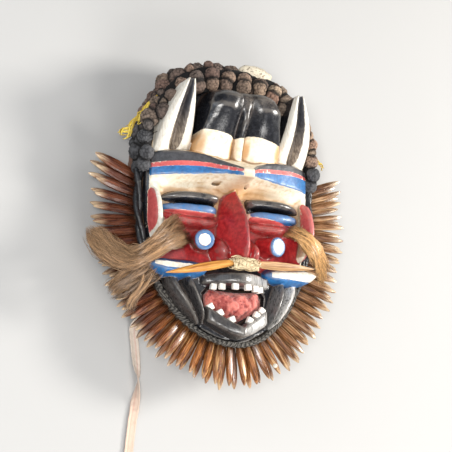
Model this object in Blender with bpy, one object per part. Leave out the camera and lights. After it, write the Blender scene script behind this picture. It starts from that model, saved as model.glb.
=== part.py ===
# A carved and painted wooden mask of the Guere kind, lying on its back.
# Metres. X runs across the face, Y up the face from chin to crown, Z out of the face.
# The back rim lies in the plane Z = 0, and the shell is hollow from there.
import math
import random

import bpy
import bmesh
from mathutils import Vector

for old in list(bpy.data.objects):
    bpy.data.objects.remove(old, do_unlink=True)

# Driving dimensions of the carved wood
FACE_WIDTH = 0.190          # the wood at its widest
FACE_HEIGHT = 0.300         # from the chin to the top of the hair
FACE_DEPTH = 0.100          # from the back rim to the tip of the nose
WALL = 0.009                # thinnest wood behind the deep-set eyes
RIM_WIDTH = 0.010           # flat back rim, where the mask lies
CLEARANCE = 0.0003          # gap between pieces that touch
EDGE_GAP = 0.0009           # round the wood's faceted edge, which stands a little inside its curve

# Openings carved through the wood
EYE_SLIT = 0.0038
BREATH_SLIT_LENGTH = 0.0085
BREATH_SLIT = 0.0024

# Cheek tubes
TUBE_RADIUS = 0.0104
TUBE_RIM = 0.0008
TUBE_SIDES = 14

# Rolled band round the jaw and the two-row ruff of carved spikes behind it
BAND_RADIUS = 0.0050        # beside the cheeks
CHIN_BAND_RADIUS = 0.0029   # at the chin, where the band is a thin woven cord
BAND_LEVEL = 0.045          # height of the band's middle beside the cheeks
CHIN_RISE = 0.017           # how much higher the band and the ruff sit at the chin
RUFF_START = 0.006          # the ruff's ends above the bridge
RUFF_FAN = 20               # degrees by which the ruff's end spikes lean towards the crown
FAN_REACH = 0.060           # how far below the ruff's ends that lean is gone
BUNDLES = 12
SPIKES_PER_ROW = 4
SPIKE_LENGTH = 0.053
SPIKE_RADIUS = 0.0041
LASHING_HEIGHT = 0.011
LASHING_THICKNESS = 0.0045

# Wig of knotted fibre
WIG_START = 0.015           # the wig's ends above the bridge
CAP_THICKNESS = 0.008
CAP_LOW = 0.034
CAP_HIGH = 0.062
CREST_START = 0.070         # over the crown the cap folds in over the wood's edge, from this height
CREST_DEPTH = 0.018
CREST_RISE = 0.006
KNOT_RADIUS = 0.0086
KNOT_SPACING = 0.0185

# Loose pieces
TOOTH_SIZE = 0.0066
TOOTH_DEPTH = 0.0050
TONGUE_GAP = 0.0042
TONGUE_HEIGHT = 0.0167
MOUSTACHE_RADIUS = 0.0046
BINDING_RADIUS = 0.0052
FUR_THICKNESS = 0.0100
TIE_WIDTH = 0.0092
TIE_THICKNESS = 0.0009
RAFFIA_THICKNESS = 0.0036
THREAD_KNOT_RADIUS = 0.0028
PALE_KNOT_LENGTH = 0.034
PALE_KNOT_RADIUS = 0.0078
LENS_GAP = 0.006            # between the band and the wings that stand past the wood's edge

FLATNESS = 3                # degrees within which neighbouring faces of a join are one
HULL_SIDES = 36

HALF_WIDTH = FACE_WIDTH / 2
OUTWARD = Vector((0, 0, 1))


def between(table, at):
    # The value at one place in a short table of (place, value), with straight runs between
    for (low, a), (high, b) in zip(table, table[1:]):
        if at <= high:
            return a + (b - a) * max(0.0, at - low) / (high - low)
    return table[-1][1]


def smooth_step(low, high, value):
    t = min(1.0, max(0.0, (value - low) / (high - low)))
    return t * t * (3 - 2 * t)


def power(value, exponent):
    return math.copysign(abs(value) ** exponent, value)


# Carving is placed by shares, in hundredths: of the half width across, of the height above the
# bridge, and of the depth out from the back rim.
def spot(across, up, out):
    return Vector((across * HALF_WIDTH, up * FACE_HEIGHT, out * FACE_DEPTH)) / 100


def round_ring(centre, wide, high, count, start=0.0):
    # Points round an oval whose half axes are two vectors
    turns = [start + 2 * math.pi * i / count for i in range(count)]
    return [centre + math.cos(t) * wide + math.sin(t) * high for t in turns]


# Meshes

def solid(name, rings):
    # A closed body through rings of points; a ring of one point is a tip
    mesh = bmesh.new()
    rows = [[mesh.verts.new(p) for p in ring] for ring in rings]
    for a, b in zip(rows, rows[1:]):
        count = max(len(a), len(b))
        for i in range(count):
            j = (i + 1) % count
            corners = [a[i % len(a)], a[j % len(a)], b[j % len(b)], b[i % len(b)]]
            mesh.faces.new(list(dict.fromkeys(corners)))
    for row in (rows[0], rows[-1]):
        if len(row) > 2:
            mesh.faces.new(row)
    bmesh.ops.recalc_face_normals(mesh, faces=mesh.faces)
    bmesh.ops.triangulate(mesh, faces=mesh.faces)
    return placed(name, mesh)


def placed(name, mesh):
    data = bpy.data.meshes.new(name)
    mesh.to_mesh(data)
    mesh.free()
    thing = bpy.data.objects.new(name, data)
    bpy.context.scene.collection.objects.link(thing)
    return thing


def simplify(data):
    # Drops the points that a join leaves along straight edges and flat faces, fewer of them where
    # the surface would open
    for flatness in (FLATNESS, FLATNESS / 4):
        mesh = bmesh.new()
        mesh.from_mesh(data)
        bmesh.ops.dissolve_limit(
            mesh, angle_limit=math.radians(flatness), verts=mesh.verts, edges=mesh.edges,
        )
        bmesh.ops.triangulate(mesh, faces=mesh.faces)
        closed = all(len(edge.link_faces) == 2 for edge in mesh.edges)
        if closed:
            mesh.to_mesh(data)
        mesh.free()
        if closed:
            return


def combine(thing, others, operation):
    # Joins or cuts with all of the other bodies at once, and removes them
    group = bpy.data.collections.new("operands")
    for other in others:
        group.objects.link(other)
    step = thing.modifiers.new(operation.lower(), "BOOLEAN")
    step.operation = operation
    step.operand_type = "COLLECTION"
    step.collection = group
    step.solver = "EXACT"
    seen = thing.evaluated_get(bpy.context.evaluated_depsgraph_get())
    result = bpy.data.meshes.new_from_object(seen)
    thing.modifiers.clear()
    thing.data = result
    simplify(result)
    for other in others:
        bpy.data.objects.remove(other, do_unlink=True)
    bpy.data.collections.remove(group)
    return thing


def unite(thing, *others):
    return combine(thing, list(others), "UNION")


def cut(thing, *others):
    return combine(thing, list(others), "DIFFERENCE")


def shade(thing, angle=40):
    thing.data.shade_smooth()
    thing.data.set_sharp_from_angle(angle=math.radians(angle))


def paint(thing, name, colour, roughness, metallic=0.0):
    material = bpy.data.materials.get(name) or bpy.data.materials.new(name)
    material.use_nodes = True
    shader = material.node_tree.nodes["Principled BSDF"]
    shader.inputs["Base Color"].default_value = (*colour, 1)
    shader.inputs["Roughness"].default_value = roughness
    shader.inputs["Metallic"].default_value = metallic
    thing.data.materials.clear()
    thing.data.materials.append(material)


# Outline of the wood: two half ovals that meet where the wood is widest, with their fullness,
# where 2 is an ellipse
CROWN, WIDEST, CHIN = (spot(0, up, 0) for up in (38.3, -7.8, -55.4))
CROWN_FULLNESS = 2.8
JAW_FULLNESS = 1.95


def half_oval(upper):
    return (CROWN - WIDEST).y if upper else (WIDEST - CHIN).y, CROWN_FULLNESS if upper else JAW_FULLNESS


def outline(angle, grow=0.0):
    c, s = math.cos(angle), math.sin(angle)
    reach, fullness = half_oval(s > 0)
    x, y = (HALF_WIDTH + grow) * power(c, 2 / fullness), (reach + grow) * power(s, 2 / fullness)
    return WIDEST + Vector((x, y, 0))


def angle_at_height(y):
    # The outline's angle on the right-hand side, where the wood's edge is at height y
    above = y - WIDEST.y
    reach, fullness = half_oval(above > 0)
    return math.asin(power(above / reach, fullness / 2))


def edge_normal(angle):
    step = 0.01
    along = outline(angle + step) - outline(angle - step)
    return Vector((along.y, -along.x, 0)).normalized()


def beside(angle, offset):
    return outline(angle) + edge_normal(angle) * offset


def even_angles(start, end, count):
    # Angles that part the outline between two angles into runs of equal length
    fine = 400
    angles = [start + (end - start) * i / fine for i in range(fine + 1)]
    lengths = [0.0]
    for a, b in zip(angles, angles[1:]):
        lengths.append(lengths[-1] + (outline(b) - outline(a)).length)
    table = list(zip(lengths, angles))
    return [between(table, lengths[-1] * i / (count - 1)) for i in range(count)]


def chinward(y):
    # 0 beside the cheeks, 1 at the chin
    return min(1.0, max(0.0, (y / CHIN.y - 0.35) / 0.65))


def band_level(y):
    return BAND_LEVEL + CHIN_RISE * chinward(y) ** 3


def band_radius(y):
    return BAND_RADIUS + (CHIN_BAND_RADIUS - BAND_RADIUS) * chinward(y)


def ruff_level(y):
    # The top of the lashing, just under the band
    return band_level(y) - band_radius(y) - CLEARANCE


# Front surface of the wood before the carving stands on it, by hundredths of height and depth
FLOOR_LEVELS = ((-58, 70), (-38, 61), (-25, 58), (-15, 57), (-5, 52), (0, 49), (6, 52), (15, 56), (41, 55))
EDGE_LEVELS = ((-58, 68), (-52, 62), (-44, 56), (-36, 53), (-20, 55), (41, 56))
EDGE_ROUNDING = 3.5
INNER_LEVEL = 49


def front_level(y, reach):
    up = 100 * y / FACE_HEIGHT
    middle, edge = between(FLOOR_LEVELS, up), between(EDGE_LEVELS, up)
    rounding = EDGE_ROUNDING * smooth_step(0.94, 1.0, reach)
    level = middle + (edge - middle) * smooth_step(0.7, 0.92, reach) - rounding
    return level / 100 * FACE_DEPTH


def hull(name, grow=0.0, hollow=True):
    angles = [2 * math.pi * i / HULL_SIDES for i in range(HULL_SIDES)]
    inner_reach = 1 - RIM_WIDTH / HALF_WIDTH
    ceiling = INNER_LEVEL / 100 * FACE_DEPTH - WALL

    def ring(reach, height):
        points = []
        for angle in angles:
            p = WIDEST + (outline(angle, grow) - WIDEST) * reach
            points.append(Vector((p.x, p.y, height(p, reach))))
        return points

    def front(p, reach):
        return front_level(p.y, reach) + grow

    def inside(p, reach):
        return ceiling * (1 - (reach / inner_reach) ** 8)

    rings = [[WIDEST + OUTWARD * (front_level(WIDEST.y, 0) + grow)]]
    rings += [ring(reach, front) for reach in (0.35, 0.62, 0.82, 0.93, 0.975, 1.0)]
    rings.append(ring(1.0, lambda p, reach: -grow))
    if hollow:
        rings += [ring(inner_reach * share, inside) for share in (1.0, 0.97, 0.9, 0.75, 0.45)]
        rings.append([WIDEST + OUTWARD * ceiling])
    return solid(name, rings)


# Raised carving: a rib with a flat back, from stations along it. Each station is the place along,
# the middle to the side, the half width to the side, the back and the crest, all in hundredths.
def rib(name, stations, across, fullness=2.0, sides=6, side=1, grow=0.0):
    rings = []
    reach = grow * 100 / FACE_HEIGHT if across else grow * 100 / HALF_WIDTH
    out = grow * 100 / FACE_DEPTH
    end = grow * 100 / (HALF_WIDTH if across else FACE_HEIGHT)
    heading = math.copysign(1, stations[-1][0] - stations[0][0])
    for n, (along, middle, half, back, crest) in enumerate(stations):
        if n == 0:
            along -= end * heading
        if n == len(stations) - 1:
            along += end * heading
        ring = []
        for i in range(sides + 1):
            turn = math.pi * i / sides
            to_side = middle + (half + reach) * power(math.cos(turn), 2 / fullness)
            height = back - out + (crest + 2 * out - back) * abs(math.sin(turn)) ** (2 / fullness)
            if across:
                ring.append(spot(side * along, to_side, height))
            else:
                ring.append(spot(side * to_side, along, height))
        rings.append(ring)
    return solid(name, rings)


def mirrored(stations):
    # Stations across the whole face from those of its right half, which start at the middle
    left = [(-along, *rest) for along, *rest in reversed(stations) if along > 0]
    return left + list(stations)


# Brow: one prow across the face. Each station is the place across, the face's lower and upper
# edge, how far out it stands and how far its top slopes back up the forehead.
BROW = (
    (5, -0.8, 2.3, 97.5, 9), (19, 0.6, 5.0, 84, 5), (35, 0.7, 7.0, 76, 4),
    (53, 0.0, 8.0, 73, 3), (68, -0.3, 8.3, 70, 2), (82, -0.5, 8.2, 65, 1), (96, -0.7, 7.7, 57, 0.4),
)
BROW_BACK = 44
BROW_BEVEL = 0.5


def brow(grow=0.0):
    rings = []
    for across, low, high, out, slope in mirrored(BROW):
        out += grow * 100 / FACE_DEPTH
        section = (
            (low, BROW_BACK), (low, out - 2), (low + BROW_BEVEL, out), (high - BROW_BEVEL, out),
            (high, out - 2), (high + slope, 50), (high + slope, BROW_BACK),
        )
        rings.append([spot(across, up, level) for up, level in section])
    return solid("brow", rings)


# Forehead: two domed lobes with a narrow rib in the valley between them. Each station is the
# height, the half width and how far out stand the outer edge, the dome, the valley and the rib.
LOBES = (
    (6, 52, 58, 62, 52, 57), (10, 52, 65, 70, 58, 66), (15, 48, 79, 86, 76, 86),
    (20.7, 44.5, 89, 97, 88, 99), (24, 43.5, 92, 102, 95, 103), (27.7, 38, 90, 102, 98, 104),
    (30, 34, 82, 93, 90, 95), (31.4, 29, 62, 66, 64, 66),
)
LOBE_BACK = 42


def lobes(grow=0.0):
    rings = []
    wider, taller = grow * 100 / HALF_WIDTH, grow * 100 / FACE_DEPTH
    for n, (up, half, edge, dome, valley, ridge) in enumerate(LOBES):
        half += wider
        if n in (0, len(LOBES) - 1):
            up += grow * 100 / FACE_HEIGHT * (1 if n else -1)
        right = [
            (half, LOBE_BACK), (half, edge - 4), (half - 3, edge + 1), (0.6 * half, dome),
            (11, dome - 1), (6.4, valley), (2.6, ridge),
        ]
        left = [(-across, out) for across, out in reversed(right)]
        rings.append([spot(across, up, out + taller) for across, out in right + left])
    return solid("lobes", rings)


# Horn: a tusk with a groove up its middle. Each station is the height, the middle, the half
# width, the crest of its two edges and the depth of the groove.
HORN = (
    (7.3, 73, 20, 58, 1), (10, 73, 20, 65, 9), (15.6, 73, 18.4, 78, 12),
    (21.7, 71.6, 14.4, 88, 11), (27.7, 68.6, 8.6, 94, 7), (31.5, 67, 2.2, 97, 1.5),
)
HORN_BACK = 42


def horn(side, grow=0.0):
    rings = []
    wider, taller = grow * 100 / HALF_WIDTH, grow * 100 / FACE_DEPTH
    for n, (up, middle, half, crest, groove) in enumerate(HORN):
        half += wider
        crest += taller
        if n in (0, len(HORN) - 1):
            up += grow * 100 / FACE_HEIGHT * (1 if n else -1)
        groove -= 2 * taller if grow else 0
        section = (
            (-1, HORN_BACK), (-1, crest - 6), (-0.72, crest), (-0.34, crest - 1), (0, crest - groove),
            (0.34, crest - 1), (0.72, crest), (1, crest - 6), (1, HORN_BACK),
        )
        rings.append([spot(side * (middle + share * half), up, out) for share, out in section])
    return solid("horn", rings)


UPPER_LID = (
    (18.5, -6.8, 1.2, 42, 62), (22, -6.8, 1.9, 42, 66.5), (36, -6.7, 2.1, 42, 69), (50.5, -6.7, 2.1, 42, 69.5),
    (66, -6.9, 2.0, 42, 67.5), (78, -7.4, 1.6, 42, 62), (84, -7.8, 0.9, 42, 57),
)
LOWER_LID = (
    (19.5, -10.9, 0.9, 42, 59), (24, -11.2, 1.7, 42, 66), (36, -11.3, 2.1, 42, 69.5),
    (50.5, -11.4, 2.1, 42, 70), (66, -11.3, 2.0, 42, 68), (77, -11.2, 1.6, 42, 63),
    (83, -11.0, 0.8, 42, 57),
)
POUCH = (
    (17, -14.6, 1.0, 42, 57), (27, -15.2, 2.1, 42, 64.5), (40, -15.6, 2.5, 42, 67), (52, -15.6, 2.5, 42, 67),
    (65, -15, 2.3, 42, 65), (76, -14, 1.8, 42, 60), (84, -13.2, 0.7, 42, 55),
)
EYE_SLIT_HEIGHT = -9.2
EYE_SLIT_ENDS = (21, 72)
BREATH_SLIT_PLACE = (17, -0.6)

NOSE = (
    (2, 0, 5, 44, 55), (-3.7, 0, 11, 44, 67), (-8.3, 0, 16, 44, 78), (-12.3, 0, 20, 44, 87),
    (-19, 0, 25, 44, 94), (-24, 0, 26, 44, 95), (-27.3, 0, 24, 44, 91.5), (-29.4, 0, 17, 44, 77),
)
NOSTRIL = (
    (-20, 19, 2, 48, 60), (-22.6, 20, 8, 48, 74), (-25.4, 19, 11, 48, 79), (-28, 17.5, 10, 48, 76),
    (-29.6, 16, 4, 48, 66),
)
SIDE_STRIP = (
    (-4.5, 93, 2.5, 44, 57), (-6, 93, 5, 44, 64), (-10, 93, 5, 44, 71), (-15, 93, 5, 44, 74),
    (-20, 90.7, 4.8, 44, 72.5), (-24, 88, 4.6, 44, 64), (-25.6, 87, 2.4, 44, 57),
)
TUBE_BASE = (36, -21.4, 46)
TUBE_TOP = (45, -22.8, 80)

# The lens-shaped wings stand past the wood's edge, there with their underside clear of the band
LENS_HEIGHT = -31.5
LENS_UNDERSIDE = 100 / FACE_DEPTH * (
    band_level(LENS_HEIGHT / 100 * FACE_HEIGHT) + BAND_RADIUS + LENS_GAP
)
LENS = (
    (35, -32, 0.8, 46, 68), (40, -32, 2.1, 46, 72), (50, -32.1, 2.9, 46, 73.5), (67, -32.2, 3.2, 46, 73.5),
    (80.5, -31.9, 2.9, 46, 72.5), (85, -31.8, 2.7, LENS_UNDERSIDE, 72), (95, -31.3, 1.7, LENS_UNDERSIDE, 70),
    (101, -30.9, 0.5, LENS_UNDERSIDE, 67),
)
UPPER_LIP = (
    (0, -35.1, 2.1, 48, 88), (9, -35, 2.1, 48, 84.5), (20, -34.9, 2.1, 48, 78),
    (31, -35, 1.9, 48, 70), (39, -35.2, 1.6, 48, 65), (42, -35.3, 1.1, 48, 56),
)
LOWER_LIP = (
    (0, -53.1, 1.9, 50, 84), (12, -51.55, 2.35, 50, 79), (24, -49.35, 2.6, 50, 74.5),
    (35, -47.15, 2.75, 50, 70), (38.5, -46.4, 1.9, 50, 62),
)
OUTER_JOWL = (
    (-34.5, 72.5, 6.0, 46, 61), (-38, 67.7, 7.1, 46, 66), (-43, 58.6, 6.2, 46, 68),
    (-47.5, 49, 3.6, 46, 66), (-50, 42, 1.4, 46, 60),
)
INNER_JOWL = (
    (-34.5, 59, 5.6, 46, 64), (-38, 56.5, 6, 46, 72), (-43, 50, 4.8, 46, 73), (-47.5, 42.8, 3.1, 46, 71),
    (-50, 38.6, 1.3, 46, 63),
)
MOUTH = (
    (0, -37.3), (32, -37.3), (38, -39.6), (37.5, -43.8), (24, -46.75), (12, -49.2), (0, -51.2),
)
MOUTH_FLOOR = 52


def upper_lip(grow=0.0):
    return rib("upper_lip", mirrored(UPPER_LIP), across=True, fullness=4, grow=grow)


def lower_lip(grow=0.0):
    return rib("lower_lip", mirrored(LOWER_LIP), across=True, fullness=4, grow=grow)


def nose(grow=0.0):
    return rib("nose", NOSE, across=False, fullness=1.35, sides=8, grow=grow)


def nostril(side, grow=0.0):
    return rib("nostril", NOSTRIL, across=False, side=side, grow=grow)


def pouch(side, grow=0.0):
    return rib("pouch", POUCH, across=True, side=side, grow=grow)


def side_strip(side, grow=0.0):
    return rib("side_strip", SIDE_STRIP, across=False, fullness=3.5, side=side, grow=grow)


def lens(side, grow=0.0):
    return rib("lens", LENS, across=True, fullness=2.8, side=side, grow=grow)


def tube(side, grow=0.0):
    start, end = spot(*TUBE_BASE), spot(*TUBE_TOP)
    start.x *= side
    end.x *= side
    axis = (end - start).normalized()
    end += axis * grow
    width = axis.cross(Vector((0, 1, 0))).normalized()
    height = width.cross(axis)
    radius = TUBE_RADIUS + grow
    profile = ((start, radius), (end - axis * TUBE_RIM, radius), (end, radius - TUBE_RIM))
    return solid("tube", [
        round_ring(centre, size * width, size * height, TUBE_SIDES) for centre, size in profile
    ])


def block(name, low, high):
    corners = [(low.x, low.y), (high.x, low.y), (high.x, high.y), (low.x, high.y)]
    return solid(name, [[Vector((x, y, z)) for x, y in corners] for z in (low.z, high.z)])


def mouth_outline(inset=0.0):
    # Anticlockwise corners of the open mouth, drawn in by an inset
    left = [(-across, up) for across, up in reversed(MOUTH[1:-1])]
    corners = [spot(across, up, 0) for across, up in list(MOUTH) + left]
    middle = (spot(0, MOUTH[0][1], 0) + spot(0, MOUTH[-1][1], 0)) / 2
    return [p - (p - middle).normalized() * inset for p in corners]


def mouth_cutter(inset=0.0):
    floor, top = spot(0, 0, MOUTH_FLOOR).z + inset, 1.2 * FACE_DEPTH
    edge = mouth_outline(inset)
    return solid("mouth", [[Vector((p.x, p.y, z)) for p in edge] for z in (floor, top)])


def mouth_surround(grow):
    # The wood round the mouth, to fit what stands in it
    return cut(hull("mouth_surround", grow, hollow=False), mouth_cutter(grow))


def slit_cutters():
    cutters = []
    low, high = 0.2 * FACE_DEPTH, 0.9 * FACE_DEPTH
    for side in (-1, 1):
        inner, outer = (spot(side * across, EYE_SLIT_HEIGHT, 0) for across in EYE_SLIT_ENDS)
        left, right = sorted((inner.x, outer.x))
        cutters.append(block(
            "eye_slit",
            Vector((left, inner.y - EYE_SLIT / 2, low)),
            Vector((right, inner.y + EYE_SLIT / 2, high)),
        ))
        across, up = BREATH_SLIT_PLACE
        middle = spot(side * across, up, 0)
        half = Vector((BREATH_SLIT_LENGTH / 2, BREATH_SLIT / 2, 0))
        cutters.append(block(
            "breath_slit",
            middle - half + Vector((0, 0, low)),
            middle + half + Vector((0, 0, 0.7 * FACE_DEPTH)),
        ))
    return cutters


def carved_face():
    face = hull("carved_face")
    parts = [brow(), lobes(), nose(), upper_lip(), lower_lip()]
    for side in (-1, 1):
        parts += [
            horn(side), pouch(side), side_strip(side), tube(side), lens(side), nostril(side),
            rib("upper_lid", UPPER_LID, across=True, fullness=2.6, side=side),
            rib("lower_lid", LOWER_LID, across=True, side=side),
            rib("outer_jowl", OUTER_JOWL, across=False, fullness=1.8, side=side),
            rib("inner_jowl", INNER_JOWL, across=False, fullness=1.6, side=side),
        ]
    unite(face, *parts)
    cut(face, mouth_cutter(), *slit_cutters())
    shade(face)
    paint(face, "painted_wood", (0.78, 0.66, 0.47), 0.42)
    return face


# Rolled band round the jaw, from temple to temple

def jaw_angles(count):
    end = angle_at_height(RUFF_START)
    return even_angles(math.pi - end, 2 * math.pi + end, count)


def jaw_band():
    rings = []
    for angle in jaw_angles(37):
        radius = band_radius(outline(angle).y)
        centre = beside(angle, EDGE_GAP + radius)
        centre.z = band_level(centre.y)
        rings.append(round_ring(centre, radius * edge_normal(angle), radius * OUTWARD, 8))
    band = solid("jaw_band", rings)
    shade(band, 60)
    paint(band, "blackened_cord", (0.03, 0.03, 0.032), 0.5)
    return band


# Ruff: bundles of tapering spikes, lashed behind the band in two rows

def spike(root, heading, length):
    # A spindle with five sides, thickest before its middle
    aside = heading.cross(OUTWARD).normalized()
    above = aside.cross(heading)
    rings = []
    for along, share in ((0, 0.6), (0.45, 1.0)):
        radius = share * SPIKE_RADIUS
        centre = root + heading * along * length
        rings.append(round_ring(centre, radius * aside, radius * above, 5, math.pi / 2))
    rings.append([root + heading * length])
    return solid("spike", rings)


def fanned(normal, y):
    # A spike's heading along the face: towards the ruff's ends it leans more to the crown
    turn = math.radians(RUFF_FAN) * (1 - smooth_step(0, FAN_REACH, RUFF_START - y))
    return (normal * math.cos(turn) + Vector((0, 1, 0)) * math.sin(turn)).normalized()


def spike_bundle(number, angles, pick):
    # The lashing is a strip behind the band, with a square section
    start, end = angles[0], angles[-1]
    gap = CLEARANCE / (outline(start) - outline(start + 0.001)).length * 0.001
    strip = []
    for step in range(5):
        angle = start + gap + (end - start - 2 * gap) * step / 4
        out = edge_normal(angle)
        inner = beside(angle, EDGE_GAP)
        top = ruff_level(inner.y)
        ring = []
        for offset, z in ((0, top - LASHING_HEIGHT), (1, top - LASHING_HEIGHT), (1, top), (0, top)):
            p = inner + out * LASHING_THICKNESS * offset
            ring.append(Vector((p.x, p.y, z)))
        strip.append(ring)
    bundle = solid("spike_bundle_%02d" % number, strip)
    spikes = []
    table = [(i / (len(angles) - 1), angle) for i, angle in enumerate(angles)]
    for row, (lower, rise, shift) in enumerate(((0.38, 0.12, 0.72), (0.86, 0.04, 0.28))):
        for n in range(SPIKES_PER_ROW):
            angle = between(table, (n + shift) / SPIKES_PER_ROW)
            root = beside(angle, EDGE_GAP + 0.3 * LASHING_THICKNESS)
            root.z = ruff_level(root.y) - lower * LASHING_HEIGHT
            turned = fanned(edge_normal(angle + pick.uniform(-0.02, 0.02)), root.y)
            heading = (turned + Vector((0, 0, rise + pick.uniform(-0.015, 0.015)))).normalized()
            length = SPIKE_LENGTH * (1 - 0.13 * chinward(root.y)) * pick.uniform(0.92, 1.03)
            spikes.append(spike(root, heading, length))
    unite(bundle, *spikes)
    shade(bundle, 50)
    paint(bundle, "brown_spikes", (0.30, 0.15, 0.07), 0.35)
    return bundle


def ruff():
    pick = random.Random(7)
    angles = jaw_angles(BUNDLES * SPIKES_PER_ROW + 1)
    for n in range(BUNDLES):
        first = n * SPIKES_PER_ROW
        spike_bundle(n + 1, angles[first:first + SPIKES_PER_ROW + 1], pick)


# Wig: a fibre cap strip round the crown, with rows of knots

def knot(centre, radius, pick):
    wide, high, deep = [radius * pick.uniform(0.85, 1.12) * axis for axis in
                        (Vector((1, 0, 0)), Vector((0, 1, 0)), OUTWARD)]
    rings = [[centre - deep]]
    for level in (-0.45, 0.45):
        share = math.sqrt(1 - level * level) * 1.1
        start = math.pi / 5 if level > 0 else 0
        rings.append(round_ring(centre + level * deep, share * wide, share * high, 5, start))
    rings.append([centre + deep])
    return solid("knot", rings)


# Each row of knots: how far outside the wood's edge, how high, its size and where it starts
KNOT_ROWS = (
    (0.0105, 0.044, 1.0, 0.024),
    (0.0070, 0.060, 0.95, 0.034),
    (-0.0100, 0.070, 0.9, 0.094),
)
PALE_KNOT = (30, 42, 63)
RAFFIA_ROUTE = ((-83, 29, 62), (-101, 22.5, 55), (-113, 17, 48), (-124, 13, 42))


def crown_angles(start, count):
    angle = angle_at_height(start)
    return even_angles(angle, math.pi - angle, count)


def knots_between(start):
    angle = angle_at_height(start)
    fine = even_angles(angle, math.pi - angle, 60)
    length = sum((outline(b) - outline(a)).length for a, b in zip(fine, fine[1:]))
    return max(2, round(length / KNOT_SPACING))


def pale_knot(grow=0.0):
    centre = spot(*PALE_KNOT)
    length, radius = PALE_KNOT_LENGTH / 2 + grow, PALE_KNOT_RADIUS + grow
    along = Vector((0.99, -0.14, 0)).normalized()
    aside = OUTWARD.cross(along)
    rings = [[centre - along * length]]
    for share in (-0.85, -0.45, 0, 0.45, 0.85):
        size = radius * (1 - share * share) ** 0.4
        rings.append(round_ring(centre + along * length * share, size * aside, size * OUTWARD, 8))
    rings.append([centre + along * length])
    return solid("pale_knot", rings)


def flat_strand(name, route, widths, thickness, grow=0.0):
    # A flat tapering bundle of fibres through a route of points
    rings = []
    for n, (place, width) in enumerate(zip(route, widths)):
        before, after = route[max(0, n - 1)], route[min(len(route) - 1, n + 1)]
        heading = (after - before).normalized()
        aside = heading.cross(OUTWARD).normalized()
        above = aside.cross(heading)
        centre = place
        if n == 0:
            centre = place - heading * grow
        if n == len(route) - 1:
            centre = place + heading * grow
        half, deep = width / 2 + grow, thickness * min(1, 0.35 + width / max(widths)) / 2 + grow
        rings.append(round_ring(centre, half * aside, deep * above, 8))
    return solid(name, rings)


RAFFIA_WIDTHS = (0.005, 0.009, 0.011, 0.008)
WISP_WIDTHS = (0.003, 0.004, 0.003)


def raffia_tassel(grow=0.0):
    route = [spot(*place) for place in RAFFIA_ROUTE]
    return flat_strand("raffia_tassel", route, RAFFIA_WIDTHS, RAFFIA_THICKNESS, grow)


def raffia_wisp(grow=0.0):
    route = [spot(*place) for place in ((114, 13.4, 53), (120, 12.0, 52), (125, 10.6, 50))]
    return flat_strand("raffia_wisp", route, WISP_WIDTHS, RAFFIA_THICKNESS, grow)


def knotted_wig():
    pick = random.Random(3)
    strip = []
    for angle in crown_angles(WIG_START, 19):
        out = edge_normal(angle)
        inner = beside(angle, EDGE_GAP)
        corners = ((0, CAP_LOW), (1, CAP_LOW), (1, CAP_HIGH), (0, CAP_HIGH))
        ring = [inner + out * CAP_THICKNESS * offset for offset, _ in corners]
        strip.append([Vector((p.x, p.y, z)) for p, (_, z) in zip(ring, corners)])
    wig = solid("knotted_wig", strip)
    crest = []
    low, high = CAP_HIGH - CREST_RISE / 2, CAP_HIGH + CREST_RISE
    for angle in crown_angles(CREST_START, 11):
        outer, inner = beside(angle, CAP_THICKNESS), beside(angle, -CREST_DEPTH)
        corners = ((outer, low), (outer, high), (inner, high), (inner, low))
        crest.append([Vector((p.x, p.y, z)) for p, z in corners])
    parts = [solid("crest", crest)]
    for offset, level, size, start in KNOT_ROWS:
        for angle in crown_angles(start, knots_between(start)):
            centre = beside(angle, offset + pick.uniform(-0.001, 0.001))
            centre.z = level + pick.uniform(-0.002, 0.002)
            parts.append(knot(centre, size * KNOT_RADIUS * pick.uniform(0.9, 1.06), pick))
    unite(wig, *parts)
    cut(
        wig, hull("hull_room", CLEARANCE, hollow=False), lobes(CLEARANCE), horn(-1, CLEARANCE),
        horn(1, CLEARANCE), pale_knot(CLEARANCE), raffia_tassel(CLEARANCE), raffia_wisp(CLEARANCE),
    )
    shade(wig, 50)
    paint(wig, "knotted_fibre", (0.12, 0.09, 0.075), 0.9)
    return wig


def small_hair_pieces():
    pale = pale_knot()
    shade(pale, 60)
    paint(pale, "pale_fibre", (0.72, 0.66, 0.52), 0.9)
    for piece in (raffia_tassel(), raffia_wisp()):
        shade(piece, 60)
        paint(piece, "yellow_raffia", (0.62, 0.47, 0.05), 0.6)


# Fur tufts that hang from below the eyes, over the cheeks and the ruff
FUR_LEFT = (
    ((-52, -17.4, 60), 0.008), ((-66, -18.6, 73), 0.014), ((-90, -24, 81), 0.018), ((-110, -30, 78), 0.021),
    ((-127, -33, 68), 0.027), ((-143, -29.5, 61), 0.026), ((-157, -24.2, 59), 0.016),
    ((-165, -22, 59), 0.006),
)
FUR_RIGHT = (
    ((54, -15.8, 60), 0.007), ((63, -15.9, 73), 0.010), ((80, -17.8, 79), 0.013), ((96, -21.4, 77), 0.015),
    ((107, -26, 70), 0.015), ((111, -31, 63), 0.012), ((111, -35, 60), 0.005),
)


def fur_tuft(name, stations):
    route = [spot(*place) for place, _ in stations]
    tuft = flat_strand(name, route, [width for _, width in stations], FUR_THICKNESS)
    side = -1 if route[0].x < 0 else 1
    gap = 2 * CLEARANCE
    cut(
        tuft, hull("hull_room", gap, hollow=False), pouch(side, gap), side_strip(side, gap),
        tube(side, gap), lens(side, gap),
    )
    shade(tuft, 60)
    paint(tuft, "tan_fur", (0.36, 0.22, 0.12), 0.7)
    return tuft


# Moustache: two spikes in a raffia binding under the nose, tilted down to the mask's own right
MOUSTACHE_INNER = (13, -29.9, 84)
MOUSTACHE_OUTER = {-1: (-89, -35, 78), 1: (91, -29.2, 78)}
BINDING_END_GAP = 0.0013  # room for the spikes' tilted roots


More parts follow.
